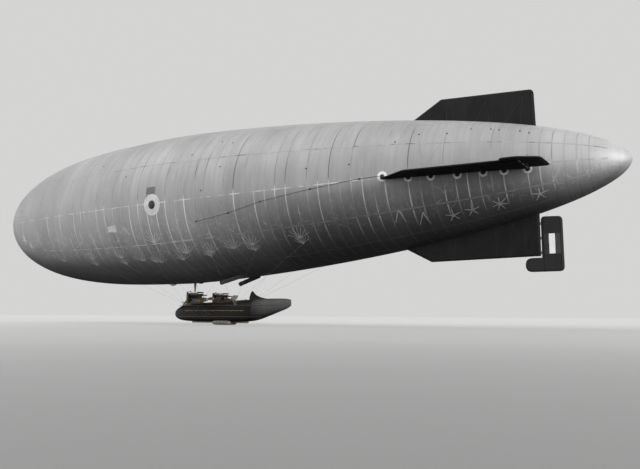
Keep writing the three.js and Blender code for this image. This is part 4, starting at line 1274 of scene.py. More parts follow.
def turned(stops, foot, axis, sides=24):
    """A round piece turned about an axis from its foot: stops are (distance along, radius)."""
    stand = Vector(axis).normalized().to_track_quat("Z", "Y")

    def shape(ring, share):
        along, radius = stops[max(0, min(ring - 1, len(stops) - 1))]
        if ring in (0, len(stops) + 1):
            radius = 0
        turn = 2 * pi * share
        return Vector(foot) + stand @ Vector((radius * cos(turn), radius * sin(turn), along))

    return drawn_form(sides, len(stops) + 1, shape)


def circle(centre, radius, count, across, up, start=0.0):
    """Points round a circle, in the plane of two directions."""
    turns = [start + 2 * pi * i / count for i in range(count)]
    return [centre + (across * cos(turn) + up * sin(turn)) * radius for turn in turns]


def hoop(centre, radius, thickness, facing, around, across):
    """A round ring about a point, with so many faces round it and across it."""
    sizes = {"major_radius": radius, "minor_radius": thickness}
    ring = torus_of(around, across, **sizes, location=centre, rotation=facing)
    bpy.ops.object.transform_apply(location=True, rotation=True)
    return ring


rim_wood = timber("wheel_rim_wood", (0.08, 0.035, 0.015), (0.2, 0.1, 0.045), 0.35)
for cockpit, foot, fore, _, reach, wheel in COCKPITS:
    board_top = deck_level(fore) - BOARD_DROP
    board_low = board_top - BOARD_HEIGHT
    board = blocks(place, (fore + 0.03, -reach + 0.02, board_low, fore, reach - 0.02, board_top, 0.003))
    settled(board, f"instrument_board_{cockpit}", "ash_wood", rim_wood)
    bezels, marks = [], []
    for i, radius in enumerate(DIAL_RADII):
        middle = place(fore + 0.03, (-0.36 + 0.24 * i) * reach * 2, board_top - 0.1)
        bezels.append(turned([(deep, radius * share) for deep, share in BEZEL], middle, -X_AXIS, 32))
        marks.append(block(middle + Vector((-0.0075, -0.0008, -radius * 0.1)),
                           middle + Vector((-0.0065, 0.0008, radius * 0.66))))
        tick = Vector((0.0006, 0.001, 0.001))
        for spot in circle(middle - X_AXIS * 0.007, radius * 0.68, DIAL_TICKS, Z_AXIS, Y_AXIS):
            marks.append(block(spot - tick, spot + tick))
    settled(bezels, f"dial_bezels_{cockpit}", "wheel_brass", brass)
    settled(marks, f"dial_marks_{cockpit}", "valve_light", patch_cloth, crease=None)
    if not wheel:
        continue
    hub = place(foot + 0.42, 0, WHEEL_LEVEL)
    rim = hoop(hub, WHEEL_RADIUS * SCALE, 0.009, (0, pi / 2, 0), 48, 12)
    settled(rim, f"wheel_rim_{cockpit}", "wheel_brass", rim_wood)
    column_foot = place(foot + 0.33, 0, FLOOR_LEVEL)
    height = (place(foot + 0.33, 0, WHEEL_LEVEL + 0.03) - column_foot).length
    column_head = [(height - 0.03, 0.014), (height - 0.02, 0.02), (height, 0.02), (height + 0.006, 0.01)]
    spokes = circle(hub, WHEEL_RADIUS * SCALE, SPOKES, Y_AXIS, Z_AXIS)
    metalwork = [wire([hub, end], 0.0042, 3) for end in spokes]
    metalwork += [
        turned(HUB_NUT, hub - X_AXIS * 0.012, X_AXIS),
        turned(COLUMN_FOOT + column_head, column_foot, Z_AXIS),
        turned(SPROCKET, hub + X_AXIS * 0.03, X_AXIS, 32),
    ]
    settled(metalwork, f"control_column_{cockpit}", "wheel_brass", brass, f"control_wheel_{cockpit}")

# Headrest fairing
# A hollow hump of moulded ply behind the last cockpit, running out along the tail.
FAIRING = [
    # station, top, half width
    (30.52, -7.92, 0.05),
    (30.6, -7.5, 0.14),
    (30.78, -7.16, 0.17),
    (31.1, -7.42, 0.2),
    (31.6, -7.64, 0.2),
    (32.2, -7.76, 0.12),
    (32.5, -7.79, 0.04),
]
FAIRING_FOOT = -8.0
FAIRING_FORE = 30.525
FAIRING_RUN = 1.97
FAIRING_STEPS = 40


def fairing_point(ring, share):
    station = FAIRING_FORE + FAIRING_RUN * (ring / FAIRING_STEPS)
    top, half = faired(FAIRING, station)
    if ring in (0, FAIRING_STEPS):
        return place(station, 0, (top + FAIRING_FOOT) / 2)
    turn = -2 * pi * share
    up = sin(turn)
    level = FAIRING_FOOT + (top - FAIRING_FOOT) * abs(up) ** 0.6 if up > 0 else FAIRING_FOOT
    return place(station, half * cos(turn), level)


fairing = drawn_form(32, FAIRING_STEPS, fairing_point)
settled(fairing, "headrest_hump", "car_paint", deck_paint, "headrest_fairing", crease=50)

# Skid, bumper bags and handrails
# An ash skid shod with steel takes the ground under the keel. Two air bags of rubbered canvas
# are lashed beside it, and a rail of ash along each side is there to hold the car by.
SHOE_LEVEL = -9.712
SHOE_THICKNESS = 0.012
BAG_RINGS = [
    # station, radius
    (27.0, 0.06),
    (27.08, 0.17),
    (27.25, 0.235),
    (27.6, 0.25),
    (28.3, 0.25),
    (28.65, 0.235),
    (28.82, 0.17),
    (28.9, 0.06),
]
BAG_FORE = 27.0
BAG_RUN = 1.9
BAG_STEPS = 76
BAG_OFFSET = 0.36
BAG_LEVEL = -9.66
LASHINGS = [27.35, 27.75, 28.15, 28.55]
HANDRAIL_ENDS = (24.2, 30.6)
HANDRAIL_LEVEL = -8.72
HANDRAIL_PROUD = 0.09 * SCALE
RAIL_STEPS = 40


def bag_surface(side, station, turn, extra=0.0):
    """A point of a bag, pinched at its lashings, puckered, and pressed flat against the keel."""
    radius = faired(BAG_RINGS, station)[0]
    pinch = sum(exp(-((station - tie) / 0.035) ** 2) for tie in LASHINGS)
    pucker = 1 + 0.02 * sin(turn * 9) * sin(station * 23)
    radius = radius * (1 - 0.1 * pinch) * pucker + extra / SCALE
    across = side * BAG_OFFSET + radius * cos(turn)
    top, bottom, _ = faired(CAR_SECTIONS, station)
    keel_level = (top + bottom) - deck_level(station, across)
    return place(station, across, min(BAG_LEVEL + 0.8 * radius * sin(turn), keel_level - 0.008))


def bag_point(side, ring, share):
    station = BAG_FORE + BAG_RUN * ring / BAG_STEPS
    if ring in (0, BAG_STEPS):
        return place(station, side * BAG_OFFSET, BAG_LEVEL)
    return bag_surface(side, station, -2 * pi * share)


def studs(spots, stops, axis, sides=6):
    """The same turned piece at each of the spots."""
    return [turned(stops, spot, axis, sides) for spot in spots]


refinished("keel_skid", ash)
shoe = blocks(place, (30.38, -0.07, SHOE_LEVEL, 24.42, 0.07, SHOE_LEVEL + SHOE_THICKNESS, 0.002))
screws = [place(24.6 + 0.5 * i, 0, SHOE_LEVEL) for i in range(12)]
shoe += studs(screws, [(0, 0.012), (0.003, 0.012), (0.006, 0.006)], -Z_AXIS, 12)
settled(shoe, "skid_shoe", "tube_steel", tube_steel)

canvas = surface("rubbered_canvas", 0.8, (0.1, 0.095, 0.085), (0.2, 0.19, 0.17), 0.12, 7)
pores(canvas, 420, 0.0008)
laid_bump = (0.002, 2, 0.0008, 0.8)
cordage = surface("manila_line", 0.85, (0.2, 0.17, 0.12), (0.34, 0.3, 0.22), 0.02, bump=laid_bump)
for side_name, side in SIDES:
    bag = drawn_form(40, BAG_STEPS, partial(bag_point, side))
    settled(bag, f"air_bag_{side_name}", "bag_rubber", canvas, f"bumper_bag_{side_name}", crease=60)
    turns = [2 * pi * i / 40 for i in range(40)]
    loops = [[bag_surface(side, tie, turn, 0.002) for turn in turns] for tie in LASHINGS]
    ties = [ring_tube(loop, 0.0035, 8) for loop in loops]
    settled(ties, f"bag_lashings_{side_name}", "ash_wood", cordage)
    stations = spaced(*HANDRAIL_ENDS, RAIL_STEPS)
    rail_points = [on_car(station, HANDRAIL_LEVEL, side, HANDRAIL_PROUD) for station in stations]
    rail = [wire(rail_points, 0.011, 3)]
    for i in range(2, RAIL_STEPS, 6):
        inner = on_car(stations[i], HANDRAIL_LEVEL - 0.06, side, -0.005)
        elbow = inner + Vector((0, side * HANDRAIL_PROUD * 0.7, -0.002))
        rail.append(wire([inner, elbow, rail_points[i]], 0.006))
    settled(rail, f"handrail_{side_name}", "ash_wood", ash)

# Outriggers
# Each engine stands on two bearer tubes, held out from the car by brazed steel struts that end in
# flanged feet on the gunwale and chine. A light hoop behind carries the cowl.
ENGINE_OFFSET = 1.55
SHAFT_LEVEL = -7.85
PROPELLER_STATION = 27.3
RAIL_OFFSET = 0.2
RAIL_LEVEL = -8.12
RAIL_RADIUS = 0.035
STRUT_RADIUS = 0.025
STRUT_STATIONS = (25.54, 26.2, 26.95)
STRUT_FOOT = 0.5
CHINE_LEVEL = -9.0
HOOP_RADIUS = 0.016
STRUT_FLANGE = [(0, 0.03), (0.004, 0.03), (0.006, 0.018), (0.02, 0.014)]
bare_steel = metal("brushed_steel", (0.3, 0.3, 0.3), (0.45, 0.45, 0.45), 0.35)
cast_metal = metal("cast_aluminium", (0.04, 0.04, 0.04), (0.09, 0.09, 0.09), 0.5)
black_iron = metal("blackened_iron", (0.03, 0.03, 0.03), (0.06, 0.055, 0.05), 0.6, (0.05, 0.03, 0.02))
rail_rise = RAIL_LEVEL - SHAFT_LEVEL


def beside(side, station, across, height):
    """A point given from the shaft line of one engine: across is outboard of it."""
    return place(station, side * (ENGINE_OFFSET + across), SHAFT_LEVEL + height)


for side_name, side in SIDES:
    at = partial(beside, side)
    tubes, joints = [], []
    for across in (-RAIL_OFFSET, RAIL_OFFSET):
        spread = copysign(0.12, across)
        bearer = [at(25.38, across, rail_rise), at(27.05, across, rail_rise)]
        half_hoop = [at(26.95, across, rail_rise), at(26.63, across + spread, 0.57)]
        half_hoop += [at(26.62, across + spread * 0.8, 0.6), at(26.62, 0, 0.6)]
        tubes.append(wire(bearer, RAIL_RADIUS * SCALE, 6))
        tubes.append(wire(half_hoop, HOOP_RADIUS * SCALE, 4))
    outer = [at(station, RAIL_OFFSET, rail_rise) for station in STRUT_STATIONS]
    inner = [at(station, -RAIL_OFFSET, rail_rise) for station in STRUT_STATIONS[1:]]
    gunwale_feet = [place(station, side * STRUT_FOOT, RAIL_LEVEL) for station in STRUT_STATIONS]
    chine_feet = [on_car(station, CHINE_LEVEL, side, -0.01) for station in STRUT_STATIONS]
    struts = [*zip(gunwale_feet, outer), *zip(gunwale_feet, inner), *zip(chine_feet, outer)]
    for foot, end in struts:
        tubes.append(wire([foot, end], STRUT_RADIUS * SCALE, 5))
        joints.append(ball(end, 1.25 * RAIL_RADIUS * SCALE))
    for station in STRUT_STATIONS:
        foot = on_car(station, CHINE_LEVEL, side, -0.001)
        joints.append(turned(STRUT_FLANGE, foot, (0, side, 0.25), 20))
        bolts = circle(foot + Y_AXIS * side * 0.004, 0.022, 4, X_AXIS, Z_AXIS, pi / 4)
        joints += studs(bolts, [(0, 0.004), (0.003, 0.004)], Y_AXIS * side)
    tubes += joints
    settled(tubes, f"outrigger_tubes_{side_name}", "tube_steel", tube_steel, f"outrigger_{side_name}")

# Engines
# Water-cooled vees of eight separate cylinders on an aluminium crankcase, with open valve gear,
# paired plugs, a carburettor low down, and an exhaust pipe along each bank.
CASE_LOW = rail_rise + RAIL_RADIUS
CASE_FORE = 25.83
CASE_AFT = 26.7
BANK_SPREAD = 0.62
BANK_RISE = 0.78
PIPE_OFFSET = 0.17
FIRST_CYLINDER = 25.95
CYLINDER_SPACING = 0.2
SHAFT_FORE = 26.98
SHAFT_RADIUS = 0.0275
CYLINDER = [(0, 0.046), (0.008, 0.046), (0.01, 0.038), (0.05, 0.037), (0.052, 0.0425), (0.13, 0.0425),
            (0.136, 0.04), (0.14, 0.025), (0.15, 0.023)]
COOLING_RING = [(0, 0.0432), (0.003, 0.0442), (0.006, 0.0432)]
EXHAUST_PORT = [(0, 0.02), (0.006, 0.02), (0.008, 0.013), (0.08, 0.013)]
PLUG = [(0, 0.008), (0.01, 0.008), (0.011, 0.005), (0.028, 0.0045), (0.03, 0.002)]
ROCKER = [(0, 0.008), (0.016, 0.008), (0.018, 0.004), (0.03, 0.004)]
CAM_CASE = [(0, 0.034), (0.008, 0.04), (0.372, 0.04), (0.38, 0.034)]
CAM_BAND = [(0, 0.0435), (0.012, 0.0435)]
EXHAUST_PIPE = [(0, 0.016), (0.01, 0.021), (0.51, 0.021), (0.52, 0.021), (0.53, 0.0195)]
CARBURETTOR = [(0, 0.03), (0.03, 0.03), (0.034, 0.036), (0.07, 0.036), (0.08, 0.02)]
MAGNETO = [(0, 0.03), (0.05, 0.03), (0.055, 0.024), (0.1, 0.024)]
CASE_BOLT = [(0, 0.008), (0.006, 0.008), (0.007, 0.004), (0.014, 0.004)]
NOSE_CASE = [(0, 0.1), (0.04, 0.1), (0.1, 0.075), (0.16, 0.06)]
PUMP = [(0, 0.055), (0.02, 0.06), (0.08, 0.06), (0.1, 0.05)]


def bank_point(side, bank, station, up, proud=0.0):
    """A point of one bank of cylinders, so far up it and so far out of its line."""
    return beside(side, station, bank * up * BANK_SPREAD + bank * proud, up * BANK_RISE + 0.04)


for side_name, side in SIDES:
    at = partial(beside, side)
    castings = blocks(at, (CASE_AFT, -0.25, CASE_LOW, CASE_FORE, 0.25, CASE_LOW + 0.07, 0.008, 3),
                      (CASE_AFT, -0.16, CASE_LOW + 0.02, CASE_FORE, 0.16, 0.12, 0.02, 4))
    castings += [
        turned(NOSE_CASE, at(26.68, 0, 0), -X_AXIS, 32),
        turned(PUMP, at(25.88, 0, 0.02), X_AXIS, 32),
        turned(CARBURETTOR, at(26.25, 0, 0.1), Z_AXIS),
    ]
    castings += studs([at(25.89, -0.12, 0.1), at(25.89, 0.12, 0.1)], MAGNETO, X_AXIS, 24)
    shaft_run = (SHAFT_FORE - PROPELLER_STATION + 0.08) * -SCALE
    brightwork = [turned([(0, SHAFT_RADIUS), (shaft_run, SHAFT_RADIUS)], at(SHAFT_FORE, 0, 0), -X_AXIS)]
    for station in (25.88, 26.07, 26.26, 26.45, 26.64):
        pair = [at(station, across, CASE_LOW + 0.07) for across in (-0.225, 0.225)]
        brightwork += studs(pair, CASE_BOLT, Z_AXIS)
    plates = [at(station, 0.16, -0.02) for station in (25.96, 26.26, 26.56)]
    brightwork += studs(plates, [(0, 0.006), (0.006, 0.005)], Y_AXIS * side)
    sleeves, iron, plugs = [], [], []
    for bank in (1, -1):
        on_bank = partial(bank_point, side, bank)
        up_bank = (on_bank(26.35, 0.5) - on_bank(26.35, 0.1)).normalized()
        out_bank = Y_AXIS * side * bank
        for i in range(4):
            station = FIRST_CYLINDER + CYLINDER_SPACING * i
            foot = on_bank(station, 0.1)
            sleeves.append(turned(CYLINDER, foot, up_bank, 28))
            rings = [foot + up_bank * (0.07 + 0.022 * k) for k in range(3)]
            sleeves += studs(rings, COOLING_RING, up_bank, 28)
            iron.append(turned(EXHAUST_PORT, on_bank(station, 0.4) + out_bank * 0.02, out_bank, 16))
            for along in (X_AXIS * -0.025, X_AXIS * 0.025):
                boss = on_bank(station, 0.36) + along + out_bank * 0.036
                pivot = on_bank(station, 0.5) + along + out_bank * 0.03
                plugs.append(turned(PLUG, boss, out_bank, 12))
                brightwork.append(turned(ROCKER, pivot, out_bank + Z_AXIS * 0.4, 12))
        castings.append(turned(CAM_CASE, on_bank(26.61, 0.49), X_AXIS, 28))
        castings += studs([on_bank(26.57 - 0.165 * i, 0.49) for i in range(5)], CAM_BAND, X_AXIS, 28)
        castings.append(wire([on_bank(25.9, 0.36, -0.09), on_bank(26.56, 0.36, -0.09)], 0.014, 4))
        iron.append(turned(EXHAUST_PIPE, on_bank(25.89, 0.4, PIPE_OFFSET) + Z_AXIS * 0.01, -X_AXIS))
        lead = [on_bank(25.85, 0.2), on_bank(25.85, 0.3, 0.1)]
        lead += [on_bank(25.91, 0.36, 0.12), on_bank(26.56, 0.36, 0.12)]
        plugs.append(wire(lead, 0.005, 3))
    settled(castings, f"crankcase_{side_name}", "engine_metal", cast_metal, f"engine_{side_name}")
    settled(sleeves, f"cylinders_{side_name}", "engine_metal", black_iron)
    settled(iron, f"exhausts_{side_name}", "engine_metal", black_iron)
    settled(brightwork, f"engine_fittings_{side_name}", "tube_steel", bare_steel)
    settled(plugs, f"plugs_and_leads_{side_name}", "dark_cloth", tarred)

# Radiators and cowls
# A brass-shelled honeycomb radiator with a round header tank stands ahead of each engine. The
# cowl is a bright roof sheet with turned-down lips, strapped to the radiator and the rear hoop.
CORE_HALF_WIDTH = 0.36
CORE_FORE = 25.43
CORE_AFT = 25.61
HEADER_LEVEL = 0.58
HEADER = [(0, 0.02), (0.004, 0.036), (0.012, 0.045), (0.348, 0.045), (0.356, 0.036), (0.36, 0.02)]
FILLER = [(0, 0.022), (0.03, 0.0225), (0.031, 0.027), (0.05, 0.027), (0.052, 0.024), (0.053, 0.01)]
ROOF_LEVEL = 0.626
ROOF_HALF_WIDTH = 0.38
ROOF_LIP = 0.08
ROOF_BEND = 0.03
ROOF_CROWN = 0.012
core_paint = metal("radiator_core", (0.06, 0.045, 0.024), (0.12, 0.09, 0.045), 0.5)
shell_brass = metal("dull_radiator_brass", (0.05, 0.043, 0.03), (0.1, 0.085, 0.06), 0.5)
cowl_metal = metal("bright_aluminium_sheet", (0.5, 0.5, 0.5), (0.68, 0.68, 0.68), 0.45, (0.18, 0.18, 0.18))


def roof_crown(across):
    return ROOF_CROWN * (1 - (across / ROOF_HALF_WIDTH) ** 2)


def roof_point(side, x, y):
    """A point of the cowl's roof sheet, its lips bent down along both sides."""
    run = y * (ROOF_HALF_WIDTH + ROOF_LIP)
    over = max(0, abs(run) - ROOF_HALF_WIDTH + ROOF_BEND)
    bend = min(pi / 2, over / 0.04)
    across = copysign(min(abs(run), ROOF_HALF_WIDTH - ROOF_BEND) + ROOF_BEND * sin(bend), run)
    drop = ROOF_BEND * (1 - cos(bend)) + max(0, over - 0.04 * pi / 2)
    return beside(side, 25.65 + (1 - x) / 2, across, ROOF_LEVEL - drop + roof_crown(across))


for side_name, side in SIDES:
    at = partial(beside, side)
    wide = CORE_HALF_WIDTH
    low, high = CASE_LOW, HEADER_LEVEL - 0.04
    slats = []
    for level in spaced(low + 0.03, high - 0.03, 40):
        slats += blocks(at, (25.6, 0.03 - wide, level - 0.002, 25.44, wide - 0.03, level + 0.002))
    for across in spaced(0.03 - wide, wide - 0.03, 34):
        slats += blocks(at, (25.6, across - 0.003, low + 0.02, 25.45, across + 0.003, high - 0.02))
    settled(slats, f"radiator_core_{side_name}", "radiator_brass", core_paint, crease=None)
    shell = blocks(
        at,
        (CORE_AFT, -wide, low, CORE_FORE, 0.04 - wide, high, 0.006, 3),
        (CORE_AFT, wide - 0.04, low, CORE_FORE, wide, high, 0.006, 3),
        (CORE_AFT, -wide, low, CORE_FORE, wide, low + 0.06, 0.006, 3),
        (CORE_AFT, -wide, high - 0.04, CORE_FORE, wide, high, 0.006, 3),
    )
    shell.append(turned(HEADER, at(25.52, -side * wide, HEADER_LEVEL), Y_AXIS, 32))
    shell.append(turned(FILLER, at(25.52, 0, HEADER_LEVEL + 0.055), Z_AXIS))
    for across in (-0.12, 0.12):
        hose = [at(CORE_AFT, across * 1.6, HEADER_LEVEL - 0.1), at(25.69, across * 1.5, 0.44)]
        hose += [at(25.77, across * 1.7, 0.36), at(25.87, across * 2.1, 0.38)]
        shell.append(wire(hose, 0.018, 5))
    settled(shell, f"radiator_shell_{side_name}", "radiator_brass", shell_brass, f"radiator_{side_name}")

    roof = reshaped(grid(34, 28), lambda x, y, z: roof_point(side, x, y))
    cowl = [modified(faces_out(roof), "SOLIDIFY", thickness=0.003, offset=0)]
    for station in (25.7, 26.15, 26.6):
        arch = [(across, ROOF_LEVEL + 0.005 + roof_crown(across)) for across in spaced(-0.35, 0.35, 14)]
        cowl.append(wire([at(station, *spot) for spot in arch], 0.004))
    for aft in [25.825 + 0.12 * i for i in range(7)]:
        lip = (ROOF_LEVEL - 0.075, aft - 0.07, ROOF_LEVEL - 0.05)
        for sense in (-1, 1):
            cowl += blocks(at, (aft, sense * 0.385, *lip[:2], sense * 0.37, lip[2], 0.002))
    cowl += blocks(at, (25.67, -0.3, 0.5, 25.65, 0.3, ROOF_LEVEL, 0.002))
    settled(cowl, f"cowl_sheet_{side_name}", "cowl_aluminium", cowl_metal, f"cowl_{side_name}")

# Propellers
# Two-bladed pushers laminated from walnut and ash, shod with brass at the tips, and clamped
# between steel plates by eight bolts.
PROPELLER_RADIUS = 0.96
PROPELLER_TURN = 80
BLADE = [
    # radius, half chord, half thickness, pitch
    (0.1, 0.075, 0.05, 62),
    (0.24, 0.1, 0.04, 50),
    (0.45, 0.13, 0.032, 36),
    (0.7, 0.125, 0.024, 26),
    (0.92, 0.095, 0.016, 20),
    (1.04, 0.045, 0.01, 18),
]
BLADE_STEPS = 44
BLADE_FROM = 0.09
SHEATH_FROM = 0.82
SHEATH_PROUD = 0.0035
HUB = [(0, 0.06), (0.004, 0.066), (0.066, 0.066), (0.07, 0.06)]
PLATE = [(0, 0.05), (0.001, 0.052), (0.006, 0.052), (0.007, 0.05)]
HUB_BOLT = [(0, 0.006), (0.006, 0.006), (0.007, 0.004)]
HUB_CAP = [(0, 0.028), (0.015, 0.028), (0.035, 0.022), (0.05, 0.012), (0.06, 0.004)]
laminated, tree = finish("laminated_walnut", 0.3, Coat_Weight=0.5, Coat_Roughness=0.15)
laminae = node(tree, "TexWave", on_object(tree), bands_direction="X", Scale=26, Distortion=1.2, Detail=2)
layers = ramp(tree, laminae.outputs["Fac"], (0.42, (0.06, 0.028, 0.013)), (0.58, (0.19, 0.1, 0.045)))
figure = ramp(tree, blotches(tree, 0.03, 8, rough=0.7), (0.3, 0.7), (0.7, 1.0))
shaded(tree, Base_Color=times(tree, layers, figure))
relief(tree, blotches(tree, 0.01, 6), 0.0003, 0.3)
stretch = PROPELLER_RADIUS / BLADE[-1][0]


def blade_point(reach, turn, grow):
    """A point of the blade's surface, on a blade that stands straight up from the hub."""
    row = reach / stretch
    chord, thick, pitch = faired(BLADE, row)
    round_off = sqrt(max(0, 1 - max(0, (row - 0.9) / 0.1405) ** 3))
    across = (chord * round_off + grow) * cos(turn)
    camber = 1.15 if sin(turn) > 0 else 0.6
    deep = (thick * round_off * (0.75 + 0.25 * cos(turn)) + grow) * sin(turn) * camber
    twist = radians(pitch)
    return Vector((deep * cos(twist) + across * sin(twist),
                   across * cos(twist) - deep * sin(twist), reach)) * SCALE


def blade(facing, start, grow):
    """The blade, or what lies over it by grow, from a radius to the tip."""

    def shape(ring, share):
        if ring == 0:
            return facing @ blade_point(start, pi / 2, -0.01)
        reach = start + (PROPELLER_RADIUS - 0.002 - start) * ring / BLADE_STEPS
        return facing @ blade_point(reach, 2 * pi * share, grow if ring < BLADE_STEPS else 0)

    return drawn_form(32, BLADE_STEPS, shape)


for side_name, side in SIDES:
    centre = beside(side, PROPELLER_STATION, 0, 0)
    facings = [Matrix.Translation(centre) @ Matrix.Rotation(radians(side * PROPELLER_TURN), 4, "X")
               @ Matrix.Rotation(half_turn, 4, "X") for half_turn in (0, pi)]
    wood = [blade(facing, BLADE_FROM, 0) for facing in facings]
    wood.append(turned(HUB, centre + X_AXIS * 0.035, -X_AXIS, 40))
    sheaths = [blade(facing, SHEATH_FROM, SHEATH_PROUD) for facing in facings]
    steel = studs([centre + X_AXIS * 0.0395, centre - X_AXIS * 0.0325], PLATE, -X_AXIS, 40)
    steel += studs(circle(centre - X_AXIS * 0.043, 0.038, 8, Y_AXIS, Z_AXIS), HUB_BOLT, -X_AXIS)
    steel.append(turned(HUB_CAP, centre - X_AXIS * 0.04, -X_AXIS, 32))
    body = f"propeller_{side_name}"
    settled(wood, f"propeller_blades_{side_name}", "propeller_wood", laminated, body, body=body, crease=40)
    settled(sheaths, f"blade_sheaths_{side_name}", "wheel_brass", brass, body=body, crease=40)
    settled(steel, f"propeller_hub_{side_name}", "tube_steel", bare_steel, body=body)

# Air scoops
# Sleeves of black cloth over cane hoops lead the air from each propeller to the ballonets. The
# mouth is cut raked and open, and the neck goes through a reinforced ring into the gas bag.
SCOOP_ENDS = [
    # station, across and level of the mouth and of the neck
    (28.5, 1.2, -6.5),
    (30.6, 0.9, -5.94),
]
SCOOP_RADIUS = 0.18
SCOOP_WALL = 0.006
SCOOP_TAIL = 0.25
SCOOP_HOOPS = [0.06, 0.3, 0.54, 0.78]
SCOOP_CUTS = [0] + [-0.95 + 0.05 * i for i in range(39)]
sleeve_cloth = surface("black_sleeve_cloth", 0.75, 0.02, 0.045, 0.15, 6, (0.03, 5, 0.003, 0.5))
for side_name, side in SIDES:
    mouth, neck = [place(station, side * across, level) for station, across, level in SCOOP_ENDS]
    length = (neck - mouth).length + SCOOP_TAIL * SCALE * 0.6
    radius = SCOOP_RADIUS * SCALE
    stand = (neck - mouth).normalized().to_track_quat("Z", "Y")
    sleeve = open_tube(40)
    with editing(sleeve):
        for level in SCOOP_CUTS:
            bpy.ops.mesh.select_all(action="SELECT")
            bpy.ops.mesh.bisect(plane_co=(0, 0, level), plane_no=(0, 0, 1))

    def sleeve_point(x, y, z):
        share = (z + 1) / 2
        turn = atan2(y, x)
        sag = min(abs(share - hoop_share) for hoop_share in SCOOP_HOOPS + [1.0])
        slack = radius * (1 - 0.07 * min(1, sag / 0.12) * (1 + 0.25 * sin(7 * turn + 9 * share)))
        return mouth + stand @ Vector((slack * cos(turn), slack * sin(turn), share * length))

    modified(reshaped(sleeve, sleeve_point), "SOLIDIFY", thickness=SCOOP_WALL, offset=-1)
    scoop_name = f"air_scoop_{side_name}"
    settled(sleeve, f"scoop_sleeve_{side_name}", "dark_cloth", sleeve_cloth, scoop_name, crease=60)
    across, up, along = (stand @ axis for axis in (X_AXIS, Y_AXIS, Z_AXIS))
    cane = [ring_tube(circle(mouth + along * share * length, radius - 0.006, 40, across, up), 0.006, 8)
            for share in SCOOP_HOOPS]
    settled(cane, f"scoop_hoops_{side_name}", "ash_wood", ash)

# Valves, filling sleeve and belly fittings
# The gas valves are spring-loaded lids on a clamping ring, set in a pale doubled patch. The air
# valves sit under the belly, with a canvas filling sleeve tied off between them.
VALVE_STATION = 25.75
VALVE_ANGLE = -6
VALVE_RINGS = [
    # outer and inner radius
    (0.83, 0.62),
    (0.6, 0.33),
]
VALVE_LID = [(0, 0.17), (0.012, 0.17), (0.016, 0.165), (0.02, 0.14), (0.03, 0.135), (0.034, 0.12),
             (0.05, 0.06), (0.056, 0.02)]
VALVE_BOLT = [(0, 0.007), (0.005, 0.007), (0.007, 0.004)]
pale_paint = paint("pale_valve_paint", 0.42, 0.6, 0.6, wear=0.1)
spot = (VALVE_STATION, VALVE_ANGLE)
patches = [ring_patch(*spot, outer * SCALE, inner * SCALE, 48) for outer, inner in VALVE_RINGS]
cloth_patch("gas_valve_patches", patches, patch_cloth, "gas_valve_port", "gas_valve_starboard", lift=0.004)
out = (on_hull(VALVE_STATION, VALVE_ANGLE, 1) - on_hull(VALVE_STATION, VALVE_ANGLE)).normalized()
up = Vector((0, -out.z, out.y))
foot = on_hull(VALVE_STATION, VALVE_ANGLE, -0.004)
lid = turned(VALVE_LID, foot, out, 40)
bolts = studs(circle(foot + out * 0.014, 0.155, 20, X_AXIS, up), VALVE_BOLT, out)
settled(both_sides(lid), "gas_valve_lids", "dark_cloth", tarred)
settled(both_sides(joined(bolts)), "gas_valve_bolts", "tube_steel", bare_steel)
flap = reshaped(grid(8, 6), lambda x, y, z: (x * 0.22, y * 0.14, 0.004 + 0.006 * (1 - y**2)))
cloth_patch("valve_flaps", [laid_on_hull(flap, VALVE_STATION - 0.15, VALVE_ANGLE + 10.2)],
            fin_finish("grey_flap_cloth", 0.12, 0.17), lift=0.001)

BELLY_VALVES = [
    # name, station, radius, drop, slot, finish
    ("air_valve_fore", 21.9, 0.3, 0.14, "valve_light", pale_paint),
    ("air_valve_aft", 25.2, 0.24, 0.1, "dark_cloth", sleeve_cloth),
]
for valve_name, station, radius, drop, slot_name, material in BELLY_VALVES:
    rim, depth = radius * SCALE, drop * SCALE
    foot = on_hull(station, -90, -0.02)
    dome_stops = [(0, 1), (0.4, 1), (0.5, 0.97), (0.5, 0.82), (0.7, 0.78), (0.9, 0.6), (1, 0.3)]
    profile = [(0.02 + depth * down if down else 0, rim * share) for down, share in dome_stops]
    valve = [turned(profile, foot, -Z_AXIS, 40)]
    spots = circle(foot - Z_AXIS * (0.02 + depth * 0.48), rim * 0.9, 12, X_AXIS, Y_AXIS)
    valve += studs(spots, [(0, 0.007), (0.005, 0.006)], -Z_AXIS)
    settled(valve, f"{valve_name}_dome", slot_name, material, valve_name)

SLEEVE_STATION = 24.55
SLEEVE_LENGTH = 0.48
SLEEVE_TIE = 0.442
FOLDS = [(0, 0.055), (0.06, 0.054), (0.13, 0.049), (0.2, 0.042), (0.28, 0.034), (0.36, 0.027),
         (0.43, 0.021), (SLEEVE_TIE, 0.019), (0.448, 0.023), (0.465, 0.033), (SLEEVE_LENGTH, 0.027)]
top = on_hull(SLEEVE_STATION, -90, -0.03)


def pleated(x, y, z):
    drop = (top.z - z) / SLEEVE_LENGTH
    turn = atan2(y - top.y, x - top.x)
    pleat = 1 + 0.13 * drop * cos(8 * turn + 3 * drop)
    return top.x + (x - top.x) * pleat, top.y + (y - top.y) * pleat, z


sleeve = reshaped(turned(FOLDS, top, -Z_AXIS, 48), pleated)
settled(sleeve, "filling_sleeve_canvas", "bag_rubber", canvas, "filling_sleeve", crease=70)
tie = circle(top - Z_AXIS * SLEEVE_TIE, 0.022, 24, X_AXIS, Y_AXIS)
settled(ring_tube(tie, 0.004, 8), "sleeve_tie", "ash_wood", cordage)

